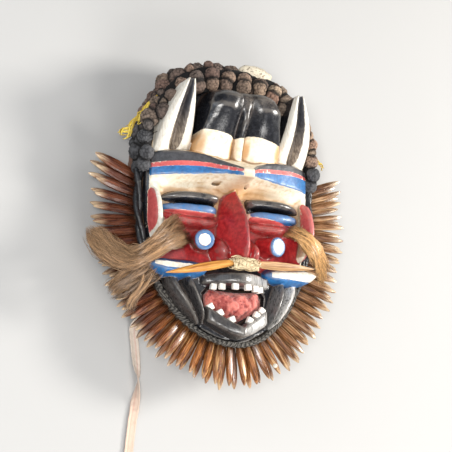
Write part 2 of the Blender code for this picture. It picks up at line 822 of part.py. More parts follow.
def moustache_spike(name, side):
    inner, outer = spot(*MOUSTACHE_INNER), spot(*MOUSTACHE_OUTER[side])
    inner.x *= side
    heading = outer - inner
    length = heading.length
    heading.normalize()
    aside = heading.cross(OUTWARD).normalized()
    above = aside.cross(heading)
    rings = []
    for along, share in ((0, 0.62), (0.12, 0.8), (0.4, 1.0), (0.75, 0.7)):
        radius = share * MOUSTACHE_RADIUS
        centre = inner + heading * along * length
        rings.append(round_ring(centre, radius * aside, radius * above, 8))
    rings.append([outer])
    spindle = solid(name, rings)
    shade(spindle, 60)
    paint(spindle, "orange_spike", (0.55, 0.25, 0.06), 0.4)
    return spindle


def raffia_binding():
    # A wrapped bar whose ends stop just short of the two spikes' roots
    end = spot(*MOUSTACHE_INNER)
    half = end.x - BINDING_END_GAP
    rings = []
    for share in (-1, -0.7, -0.25, 0.25, 0.7, 1):
        radius = BINDING_RADIUS * (1 - 0.14 * share * share)
        centre = Vector((share * half, end.y, end.z))
        rings.append(round_ring(centre, Vector((0, radius, 0)), radius * OUTWARD, 8))
    binding = solid("raffia_binding", rings)
    cut(binding, nose(CLEARANCE), upper_lip(CLEARANCE), nostril(-1, CLEARANCE), nostril(1, CLEARANCE))
    shade(binding, 60)
    paint(binding, "cream_raffia", (0.66, 0.56, 0.38), 0.7)
    return binding


# Teeth stand on the lips' inner edges, each cut to fit its lip with the usual gap. Places are the
# share across and how far the tooth turns.
UPPER_TEETH = ((-28, -6), (-20.5, -4), (-8.6, -2), (6, 2), (18.9, 5), (28, 8))
LOWER_TEETH = ((-31.5, 30), (-22, 28), (-10.4, 25), (11.4, -24), (22, -30), (30.5, -35))


def tooth(name, across, turn, lips, upper):
    half = TOOTH_SIZE / 2
    side = [(abs(along), middle + (-half_width if upper else half_width), crest)
            for along, middle, half_width, _, crest in lips]
    up = between([(along, edge) for along, edge, _ in side], abs(across))
    out = between([(along, crest) for along, _, crest in side], abs(across))
    middle = spot(across, up, out - 3)
    middle.y += half * (-0.55 if upper else 0.55)
    angle = math.radians(turn)
    corners = [(-half, -half), (half, -half), (half, half), (-half, half)]
    rings = []
    for depth, share in ((-TOOTH_DEPTH, 1.0), (-0.15 * TOOTH_DEPTH, 1.0), (0, 0.8)):
        ring = []
        for x, y in corners:
            x, y = x * share, y * share
            turned = Vector((x * math.cos(angle) - y * math.sin(angle),
                             x * math.sin(angle) + y * math.cos(angle), depth))
            ring.append(middle + turned)
        rings.append(ring)
    peg = solid(name, rings)
    cut(peg, upper_lip(CLEARANCE) if upper else lower_lip(CLEARANCE), mouth_surround(CLEARANCE))
    paint(peg, "white_tooth", (0.85, 0.83, 0.78), 0.35)
    return peg


def teeth():
    for n, (across, turn) in enumerate(UPPER_TEETH):
        tooth("upper_tooth_%d" % (n + 1), across, turn, UPPER_LIP, upper=True)
    for n, (across, turn) in enumerate(LOWER_TEETH):
        tooth("lower_tooth_%d" % (n + 1), across, turn, LOWER_LIP, upper=False)


def tongue():
    # A thick pad on the floor of the mouth, crowned in the middle
    floor = spot(0, 0, MOUTH_FLOOR).z + CLEARANCE
    crown = floor + TONGUE_HEIGHT
    edge = mouth_outline(TONGUE_GAP)
    middle = sum(edge, Vector()) / len(edge)
    rings = []
    for share, rise in ((1.0, 0), (1.0, 0.35), (0.6, 0.85)):
        z = floor + rise * TONGUE_HEIGHT
        rings.append([Vector((*(middle + (p - middle) * share).xy, z)) for p in edge])
    rings.append([Vector((middle.x, middle.y, crown))])
    pad = solid("tongue", rings)
    shade(pad, 60)
    paint(pad, "coral_felt", (0.55, 0.12, 0.10), 0.9)
    return pad


# Cloth tie: a torn strip from the back of the jaw, down to the surface and along it. Each place
# has a roll, in degrees, where the strip turns over.
TIE_ROUTE = (
    (-0.0790, -0.1400, 0.0075, 10), (-0.0855, -0.1520, 0, 0), (-0.0835, -0.1720, 0, 0),
    (-0.0822, -0.1900, 0, 20), (-0.0816, -0.2060, 0, 80), (-0.0824, -0.2160, 0, 110),
    (-0.0838, -0.2300, 0, 160), (-0.0860, -0.2450, 0, 180), (-0.0885, -0.2650, 0, 180),
    (-0.0912, -0.2900, 0, 180),
)
TIE_HEIGHT = -0.132         # where the strip leaves the edge of the wood, from the bridge
TIE_START_LEVEL = 0.019     # and how high


def cloth_tie():
    start = beside(math.pi - angle_at_height(TIE_HEIGHT), EDGE_GAP + 3 * TIE_THICKNESS)
    start.z = TIE_START_LEVEL
    route = [(start, 12)]
    for x, y, height, roll in TIE_ROUTE:
        turn = math.radians(roll)
        rest = TIE_WIDTH / 2 * abs(math.sin(turn)) + TIE_THICKNESS / 2 * abs(math.cos(turn))
        route.append((Vector((x, y, height + rest + 0.0002)), roll))
    rings = []
    for n, (place, roll) in enumerate(route):
        before, after = route[max(0, n - 1)][0], route[min(len(route) - 1, n + 1)][0]
        heading = (after - before).normalized()
        flat = heading.cross(OUTWARD).normalized()
        above = flat.cross(heading)
        turn = math.radians(roll)
        wide = flat * math.cos(turn) + above * math.sin(turn)
        thick = heading.cross(wide)
        ring = []
        for a, b in ((-1, -1), (1, -1), (1, 1), (-1, 1)):
            p = place + wide * a * TIE_WIDTH / 2 + thick * b * TIE_THICKNESS / 2
            ring.append(Vector((p.x, p.y, max(p.z, 0.0001))))
        rings.append(ring)
    tie = solid("cloth_tie", rings)
    paint(tie, "pale_cloth", (0.72, 0.60, 0.50), 0.9)
    return tie


THREAD_KNOT_ANGLE = -72
THREAD_KNOT_REACH = 0.034
THREAD_KNOT_RISE = 0.001


def thread_knot():
    # A little knot of thread that lies on the spikes below the chin
    centre = beside(math.radians(THREAD_KNOT_ANGLE), THREAD_KNOT_REACH)
    centre.z = ruff_level(centre.y) + THREAD_KNOT_RISE + SPIKE_RADIUS + THREAD_KNOT_RADIUS
    bead = knot(centre, THREAD_KNOT_RADIUS, random.Random(2))
    bead.name = "thread_knot"
    shade(bead, 60)
    paint(bead, "white_thread", (0.85, 0.83, 0.76), 0.8)
    return bead


carved_face()
jaw_band()
ruff()
knotted_wig()
small_hair_pieces()
fur_tuft("fur_tuft_left", FUR_LEFT)
fur_tuft("fur_tuft_right", FUR_RIGHT)
moustache_spike("moustache_left", -1)
moustache_spike("moustache_right", 1)
raffia_binding()
teeth()
tongue()
cloth_tie()
thread_knot()


# The whole mask hangs on one empty, which sets the origin under the middle of its box
def centre_on_box(things):
    corners = [thing.matrix_world @ vertex.co for thing in things for vertex in thing.data.vertices]
    low = [min(p[k] for p in corners) for k in range(3)]
    high = [max(p[k] for p in corners) for k in range(3)]
    frame = bpy.data.objects.new("mask_frame", None)
    bpy.context.scene.collection.objects.link(frame)
    frame.location = (-(low[0] + high[0]) / 2, -(low[1] + high[1]) / 2, -low[2])
    for thing in things:
        thing.parent = frame


centre_on_box([thing for thing in bpy.data.objects if thing.type == "MESH"])
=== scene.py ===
import math
import random
from types import SimpleNamespace

import bmesh
import bpy
import numpy as np
from mathutils import Matrix, Vector
from mathutils.bvhtree import BVHTree


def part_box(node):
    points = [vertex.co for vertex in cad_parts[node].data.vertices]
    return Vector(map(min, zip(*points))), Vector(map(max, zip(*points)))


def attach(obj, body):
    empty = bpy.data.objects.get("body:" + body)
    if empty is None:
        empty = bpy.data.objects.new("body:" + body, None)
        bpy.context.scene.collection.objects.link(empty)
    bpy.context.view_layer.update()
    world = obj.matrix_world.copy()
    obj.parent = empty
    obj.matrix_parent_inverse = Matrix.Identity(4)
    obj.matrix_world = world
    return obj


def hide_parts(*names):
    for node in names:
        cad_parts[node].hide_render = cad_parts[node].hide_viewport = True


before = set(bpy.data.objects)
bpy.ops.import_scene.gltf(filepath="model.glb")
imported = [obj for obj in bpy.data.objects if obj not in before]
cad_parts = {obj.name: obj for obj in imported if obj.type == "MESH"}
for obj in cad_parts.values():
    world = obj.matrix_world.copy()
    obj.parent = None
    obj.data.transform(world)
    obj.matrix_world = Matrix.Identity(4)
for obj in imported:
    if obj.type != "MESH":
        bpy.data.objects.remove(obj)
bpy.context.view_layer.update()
bpy.ops.object.select_all(action="DESELECT")
print("frame loaded:", len(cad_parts), "nodes")

# The wood: metres from the bridge of the nose, on the plane that the mask lies on
wood = {
    "halfWidth": 0.095,
    "height": 0.300,        # chin to the top of the hair, which places up the face are shares of
    "depth": 0.100,
    "crown": 0.1149,
    "widest": -0.0234,
    "chin": -0.1662,
    "crownFullness": 2.8,   # 2 is an ellipse
    "jawFullness": 1.95,
    "edgeGap": 0.0009,      # between the wood's edge and what is bound round it
    "clearance": 0.0003,
}
faceLow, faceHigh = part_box("carved_face")
bridge = Vector(((faceLow.x + faceHigh.x) / 2, faceHigh.y - wood["crown"], 0))
outward = Vector((0, 0, 1))


# Places on the carving are hundredths of the half width, the height and the depth
def spot(across, up, out):
    return bridge + Vector((across * wood["halfWidth"], up * wood["height"], out * wood["depth"])) / 100


def smoothStep(low, high, value):
    t = np.clip((value - low) / (high - low), 0, 1)
    return t * t * (3 - 2 * t)


def signedPower(value, exponent):
    return math.copysign(abs(value) ** exponent, value)


def fullTurn(count):
    return [2 * math.pi * n / count for n in range(count)]


def atLevel(place, level):
    return Vector((place.x, place.y, level))


def tableValue(table, at, column=1):
    # One column of a table of rows, read between its rows
    return np.interp(at, [row[0] for row in table], [row[column] for row in table])


def smoothRows(rows, steps, byLength=False):
    # Rows of numbers made denser along a curve that never swings past them
    rows = np.array(rows, float)
    if byLength:
        runs = np.linalg.norm(np.diff(rows, axis=0), axis=1)
        places = np.concatenate(([0], np.cumsum(runs)))
    else:
        places = rows[:, 0] * (1 if rows[-1, 0] > rows[0, 0] else -1)
    gap = np.diff(places)[:, None]
    slope = np.diff(rows, axis=0) / gap
    turn = np.zeros_like(rows)
    turn[0], turn[-1] = slope[0], slope[-1]
    same = slope[:-1] * slope[1:] > 0
    total = slope[:-1] + slope[1:]
    turn[1:-1] = np.where(same, 2 * slope[:-1] * slope[1:] / np.where(same, total, 1), 0)
    dense = []
    for n in range(len(rows) - 1):
        for step in range(steps):
            t = step / steps
            dense.append(
                rows[n] * (1 + 2 * t) * (1 - t) ** 2 + rows[n + 1] * t * t * (3 - 2 * t)
                + gap[n] * (turn[n] * t * (1 - t) ** 2 - turn[n + 1] * t * t * (1 - t))
            )
    dense.append(rows[-1])
    return np.array(dense)


def outlineHalf(above):
    # How far the wood reaches from its widest place, to the crown or to the chin, and how full it is
    if above:
        return wood["crown"] - wood["widest"], wood["crownFullness"]
    return wood["widest"] - wood["chin"], wood["jawFullness"]


def outline(angle):
    c, s = math.cos(angle), math.sin(angle)
    reach, fullness = outlineHalf(s > 0)
    x = wood["halfWidth"] * signedPower(c, 2 / fullness)
    return bridge + Vector((x, wood["widest"] + reach * signedPower(s, 2 / fullness), 0))


def edgeNormal(angle):
    along = outline(angle + 0.01) - outline(angle - 0.01)
    return Vector((along.y, -along.x, 0)).normalized()


def beside(angle, offset):
    return outline(angle) + edgeNormal(angle) * offset


def angleAtHeight(y):
    above = y - wood["widest"]
    reach, fullness = outlineHalf(above > 0)
    return math.asin(signedPower(above / reach, fullness / 2))


def evenAngles(start, end, count):
    angles = [start + (end - start) * n / 400 for n in range(401)]
    lengths = [0.0]
    for a, b in zip(angles, angles[1:]):
        lengths.append(lengths[-1] + (outline(b) - outline(a)).length)
    return [float(np.interp(lengths[-1] * n / (count - 1), lengths, angles)) for n in range(count)]


# A smooth random field from -1 to 1, the same on every run
def field(points, size, seed=0):
    p = points / size + seed * 19.7 + 40
    cell = np.floor(p).astype(np.int64)
    part = p - cell
    part = part * part * (3 - 2 * part)
    total = np.zeros(len(points))
    for corner in range(8):
        step = np.array([corner & 1, corner >> 1 & 1, corner >> 2 & 1])
        at = cell + step
        mixed = at[:, 0] * 73856093 ^ at[:, 1] * 19349663 ^ at[:, 2] * 83492791
        mixed = (mixed ^ (mixed >> 13)) * 1274126177 & 0x7FFFFFFF
        mixed = (mixed ^ (mixed >> 11)) * 668265263 & 0x7FFFFFFF
        weight = np.prod(np.where(step == 1, part, 1 - part), axis=1)
        total += weight * (mixed / 0x3FFFFFFF - 1)
    return total


# Working with meshes

def pickOnly(*things):
    bpy.ops.object.select_all(action="DESELECT")
    for thing in things:
        thing.select_set(True)
    bpy.context.view_layer.objects.active = things[0]


def coordinates(thing):
    flat = np.empty(len(thing.data.vertices) * 3)
    thing.data.vertices.foreach_get("co", flat)
    return flat.reshape(-1, 3)


def setCoordinates(thing, points):
    thing.data.vertices.foreach_set("co", np.asarray(points).ravel())
    thing.data.update()


def vertexNormals(thing):
    flat = np.empty(len(thing.data.vertices) * 3)
    thing.data.vertex_normals.foreach_get("vector", flat)
    return flat.reshape(-1, 3)


def storeNumber(thing, name, values):
    layer = thing.data.attributes.new(name, "FLOAT", "POINT")
    layer.data.foreach_set("value", np.asarray(values, np.float32))


def storeVector(thing, name, values):
    layer = thing.data.attributes.new(name, "FLOAT_VECTOR", "POINT")
    layer.data.foreach_set("vector", np.asarray(values, np.float32).ravel())


def applied(thing, kind, **settings):
    pickOnly(thing)
    step = thing.modifiers.new(kind.lower(), kind)
    for name, value in settings.items():
        setattr(step, name, value)
    bpy.ops.object.modifier_apply(modifier=step.name)
    return thing


def remade(thing, voxel, smoothing=0):
    # One closed skin over everything in the piece, then smoothed
    applied(thing, "REMESH", mode="VOXEL", voxel_size=voxel)
    if smoothing:
        applied(thing, "SMOOTH", factor=0.5, iterations=smoothing)
    return thing


def relief(points, layers):
    # Random relief in layers, each with its grain size, its seed and its height
    return sum(field(points, size, seed) * height for size, seed, height in layers)


def pushOut(thing, heightAt):
    # Moves each point along its normal, by what heightAt says of the points and their normals
    points, normals = coordinates(thing), vertexNormals(thing)
    heights = heightAt(points, normals)
    setCoordinates(thing, points + normals * heights[:, None])
    return heights


def newPiece(name, points, faces):
    mesh = bpy.data.meshes.new(name)
    mesh.from_pydata(points, [], faces)
    thing = bpy.data.objects.new(name, mesh)
    bpy.context.scene.collection.objects.link(thing)
    return thing


def normalsOut(thing):
    pickOnly(thing)
    bpy.ops.object.mode_set(mode="EDIT")
    bpy.ops.mesh.select_all(action="SELECT")
    bpy.ops.mesh.normals_make_consistent(inside=False)
    bpy.ops.object.mode_set(mode="OBJECT")


def loft(name, rings):
    # A filled ring, extruded from each ring of points to the next
    bpy.ops.object.select_all(action="DESELECT")
    bpy.ops.mesh.primitive_circle_add(vertices=len(rings[0]), radius=0.01, fill_type="NGON")
    shape = bpy.context.object
    shape.name = shape.data.name = name
    bpy.ops.object.mode_set(mode="EDIT")
    mesh = bmesh.from_edit_mesh(shape.data)
    slot = mesh.verts.layers.int.new("slot")
    for n, vert in enumerate(mesh.verts):
        vert[slot] = n
        vert.co = rings[0][n]
    for ring in rings[1:]:
        bpy.ops.mesh.extrude_region_move()
        mesh = bmesh.from_edit_mesh(shape.data)
        slot = mesh.verts.layers.int["slot"]
        for vert in mesh.verts:
            if vert.select:
                vert.co = ring[vert[slot]]
    bpy.ops.mesh.select_all(action="SELECT")
    bpy.ops.mesh.normals_make_consistent(inside=False)
    bpy.ops.object.mode_set(mode="OBJECT")
    shape.data.attributes.remove(shape.data.attributes["slot"])
    return shape


def joined(name, things):
    pickOnly(*things)
    if len(things) > 1:
        bpy.ops.object.join()
    whole = bpy.context.view_layer.objects.active
    whole.name = whole.data.name = name
    return whole


def cutWith(thing, cutter):
    return applied(thing, "BOOLEAN", object=cutter, operation="DIFFERENCE", solver="EXACT")


def cadCopy(node, name):
    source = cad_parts[node]
    copy = bpy.data.objects.new(name, source.data.copy())
    bpy.context.scene.collection.objects.link(copy)
    pickOnly(copy)
    bpy.ops.object.mode_set(mode="EDIT")
    bpy.ops.mesh.select_all(action="SELECT")
    bpy.ops.mesh.remove_doubles(threshold=0.00002)
    bpy.ops.object.mode_set(mode="OBJECT")
    return copy


def sweepMany(name, strands, sides, profile=None):
    # Many closed strands in one mesh. A strand is (points, half widths, tone, flatness); each point
    # also stores where it is on its own strand, for the grain. A profile swells or cuts the section.
    points, faces, grain, tones = [], [], [], []
    turns = 2 * math.pi * np.arange(sides) / sides
    for route, halves, tone, flatness in strands:
        route = np.asarray(route, float)
        halves = np.broadcast_to(np.asarray(halves, float), (len(route),))
        ahead = np.gradient(route, axis=0)
        ahead /= np.linalg.norm(ahead, axis=1)[:, None] + 1e-12
        aside = np.cross(ahead[0], (0, 0, 1))
        if np.linalg.norm(aside) < 1e-3:
            aside = np.array([1.0, 0, 0])
        first = len(points)
        along = np.concatenate(([0], np.cumsum(np.linalg.norm(np.diff(route, axis=0), axis=1))))
        for n, place in enumerate(route):
            aside = aside - ahead[n] * np.dot(aside, ahead[n])
            aside /= np.linalg.norm(aside) + 1e-12
            above = np.cross(aside, ahead[n])
            for turn in turns:
                half = halves[n] * (profile(turn, along[n] / along[-1], tone) if profile else 1)
                off = half * (math.cos(turn) * aside + flatness * math.sin(turn) * above)
                points.append(place + off)
                grain.append((math.cos(turn) * halves[n], math.sin(turn) * halves[n], along[n]))
                tones.append(tone)
        for n in range(len(route) - 1):
            for k in range(sides):
                a, b = first + n * sides + k, first + n * sides + (k + 1) % sides
                faces.append((a, b, b + sides, a + sides))
        last = first + (len(route) - 1) * sides
        faces.append(tuple(range(first + sides - 1, first - 1, -1)))
        faces.append(tuple(range(last, last + sides)))
    thing = newPiece(name, [tuple(p) for p in points], faces)
    normalsOut(thing)
    storeVector(thing, "grain", grain)
    storeNumber(thing, "tone", tones)
    return thing


def triangleCount(thing):
    corners = np.empty(len(thing.data.polygons), np.int32)
    thing.data.polygons.foreach_get("loop_total", corners)
    return int((corners - 2).sum())


def finishPiece(thing, slotName, material, *nodes, angle=60):
    pickOnly(thing)
    bpy.ops.object.shade_smooth_by_angle(angle=math.radians(angle))
    if material:
        thing.data.materials.clear()
        thing.data.materials.append(material)
    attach(thing, "root")
    if nodes:
        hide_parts(*nodes)
    print("made", thing.name, triangleCount(thing), "triangles")
    return thing


# Materials

def setSockets(tree, node, sockets):
    # A socket of another node is linked, and anything else is the socket's own value
    for key, value in sockets.items():
        if isinstance(value, bpy.types.NodeSocket):
            tree.links.new(value, node.inputs[key])
        else:
            node.inputs[key].default_value = value


def addNode(tree, kind, sockets=None, **settings):
    made = tree.nodes.new(kind)
    for name, value in settings.items():
        setattr(made, name, value)
    setSockets(tree, made, sockets or {})
    return made


def startMaterial(name):
    material = bpy.data.materials.new(name)
    material.use_nodes = True
    return material, material.node_tree, material.node_tree.nodes["Principled BSDF"]


def mixColour(tree, share, a, b):
    a, b = (((*c, 1) if isinstance(c, tuple) else c) for c in (a, b))
    return addNode(tree, "ShaderNodeMix", {0: share, 6: a, 7: b}, data_type="RGBA").outputs[2]


def mixNumber(tree, share, a, b):
    return addNode(tree, "ShaderNodeMix", {0: share, 2: a, 3: b}).outputs[0]


def sums(tree, operation, a, b=0.0):
    return addNode(tree, "ShaderNodeMath", {0: a, 1: b}, operation=operation).outputs[0]


def times(tree, a, b):
    return sums(tree, "MULTIPLY", a, b)


def plus(tree, a, b):
    return sums(tree, "ADD", a, b)


def swinging(tree, value, amount):
    # A value from 0 to 1 made to swing round 0
    return times(tree, sums(tree, "SUBTRACT", value, 0.5), amount)


def maskOf(tree, value, low, high, top=1.0):
    return addNode(
        tree, "ShaderNodeMapRange", {0: value, 1: low, 2: high, 3: 0.0, 4: top},
        interpolation_type="SMOOTHSTEP",
    ).outputs[0]


def toned(tree, value, limits, a, b):
    # From colour a to colour b between the value's two limits. A third limit says how much of b at most.
    return mixColour(tree, maskOf(tree, value, *limits), a, b)


def attribute(tree, name, vector=False):
    made = addNode(tree, "ShaderNodeAttribute", attribute_name=name)
    return made.outputs["Vector" if vector else "Fac"]


def axisOf(tree, place, axis):
    return addNode(tree, "ShaderNodeSeparateXYZ", {0: place}).outputs[axis]


def alongGrain(tree, squash):
    # The place on its own strand, drawn out along it
    return stretched(tree, attribute(tree, "grain", vector=True), (1, 1, squash))


def noiseOn(tree, vector, scale, detail=4.0, roughness=0.6, distortion=0.0):
    return addNode(tree, "ShaderNodeTexNoise", {
        "Vector": vector, "Scale": scale, "Detail": detail, "Roughness": roughness, "Distortion": distortion,
    }).outputs[0]


def stretched(tree, vector, scale):
    return addNode(tree, "ShaderNodeMapping", {"Vector": vector, "Scale": scale}).outputs[0]


def bumpOf(tree, height, distance, strength=1.0, under=None):
    sockets = {"Height": height, "Distance": distance, "Strength": strength}
    if under is not None:
        sockets["Normal"] = under
    return addNode(tree, "ShaderNodeBump", sockets).outputs[0]


def objectPlace(tree):
    return addNode(tree, "ShaderNodeTexCoord").outputs["Object"]


def shiftedBy(tree, place, tone, axes):
    # Each strand reads its own part of the pattern
    shift = addNode(tree, "ShaderNodeCombineXYZ", {axis: tone for axis in axes}).outputs[0]
    return addNode(tree, "ShaderNodeVectorMath", {0: place, 1: shift}, operation="ADD").outputs[0]


# Camera at the photograph's angle: the mask lies, so the camera looks down on it
shot = {
    "toLeft": 28,           # degrees round to the mask's own right
    "below": 15,
    "roll": -0.5,
    "aimOut": 0.051,        # the point above the bridge that the photograph shows at seenAt
    "seenAt": (228.5, 185.0),
    "picture": 452,
    "metresPerPixel": 0.00105,
    "distance": 1.3,
}


def placeCamera():
    turn = Matrix.Rotation(math.radians(-shot["toLeft"]), 3, "Y")
    turn = turn @ Matrix.Rotation(math.radians(shot["below"]), 3, "X")
    turn = turn @ Matrix.Rotation(math.radians(shot["roll"]), 3, "Z")
    right, up, back = turn.col[0].copy(), turn.col[1].copy(), turn.col[2].copy()
    target = bridge + outward * shot["aimOut"]
    place = target + back * shot["distance"]
    middle = shot["picture"] / 2
    scale = shot["metresPerPixel"]
    centre = target - right * (shot["seenAt"][0] - middle) * scale + up * (shot["seenAt"][1] - middle) * scale
    back = (place - centre).normalized()
    right = (right - back * right.dot(back)).normalized()
    up = back.cross(right)
    bpy.ops.object.camera_add(location=place)
    camera = bpy.context.object
    camera.data.lens = camera.data.sensor_width * shot["distance"] / (shot["picture"] * scale)
    camera.data.clip_start, camera.data.clip_end = 0.05, 20
    camera.matrix_world = Matrix.Translation(place) @ Matrix((right, up, back)).transposed().to_4x4()
    bpy.context.scene.camera = camera


# Plain pale floor and soft studio light
studio = {
    "floorSize": 6.0,
    "floorLevel": -0.0004,
    "floorColour": (0.46, 0.456, 0.449),
    "surround": (0.80, 0.86, 0.95),
    "surroundStrength": 0.17,
    # name: place from the bridge, size, watts, colour
    "lamps": {
        "keyLight": ((1.55, 0.10, 1.00), 0.5, 44, (1.0, 0.97, 0.92)),
        "lowLight": ((0.30, -1.25, 0.95), 0.8, 17, (1.0, 0.98, 0.95)),
        "frontLight": ((-0.80, -0.30, 1.35), 0.35, 15, (1.0, 0.98, 0.95)),
        "leftLight": ((-1.10, 0.30, 0.80), 0.8, 4, (0.80, 0.90, 1.0)),
        "topLight": ((0.1, 0.2, 1.7), 1.2, 4, (1.0, 0.98, 0.96)),
    },
}


def buildStudio():
    bpy.ops.mesh.primitive_plane_add(size=studio["floorSize"], location=(0, 0, studio["floorLevel"]))
    floor = bpy.context.object
    floor.name = "studio_floor"
    pickOnly(floor)
    bpy.ops.object.transform_apply(location=True, rotation=False, scale=False)
    material, tree, shader = startMaterial("palePaper")
    paper = noiseOn(tree, objectPlace(tree), 8.0)
    colour = mixColour(tree, paper, studio["floorColour"], tuple(0.97 * c for c in studio["floorColour"]))
    setSockets(tree, shader, {"Base Color": colour, "Roughness": 0.9})
    floor.data.materials.append(material)
    for name, (place, size, watts, colour) in studio["lamps"].items():
        place = bridge + Vector(place)
        bpy.ops.object.light_add(type="AREA", location=place)
        lamp = bpy.context.object
        lamp.name = name
        lamp.data.shape, lamp.data.size = "DISK", size
        lamp.data.energy, lamp.data.color = watts, colour
        lamp.rotation_euler = (bridge - place).to_track_quat("-Z", "Y").to_euler()
    scene = bpy.context.scene
    scene.world = bpy.data.worlds.new("softSurround")
    scene.world.use_nodes = True
    sky = scene.world.node_tree.nodes["Background"]
    sky.inputs["Color"].default_value = (*studio["surround"], 1)
    sky.inputs["Strength"].default_value = studio["surroundStrength"]
    scene.view_settings.view_transform = "Standard"


placeCamera()
buildStudio()
print("camera and studio ready")

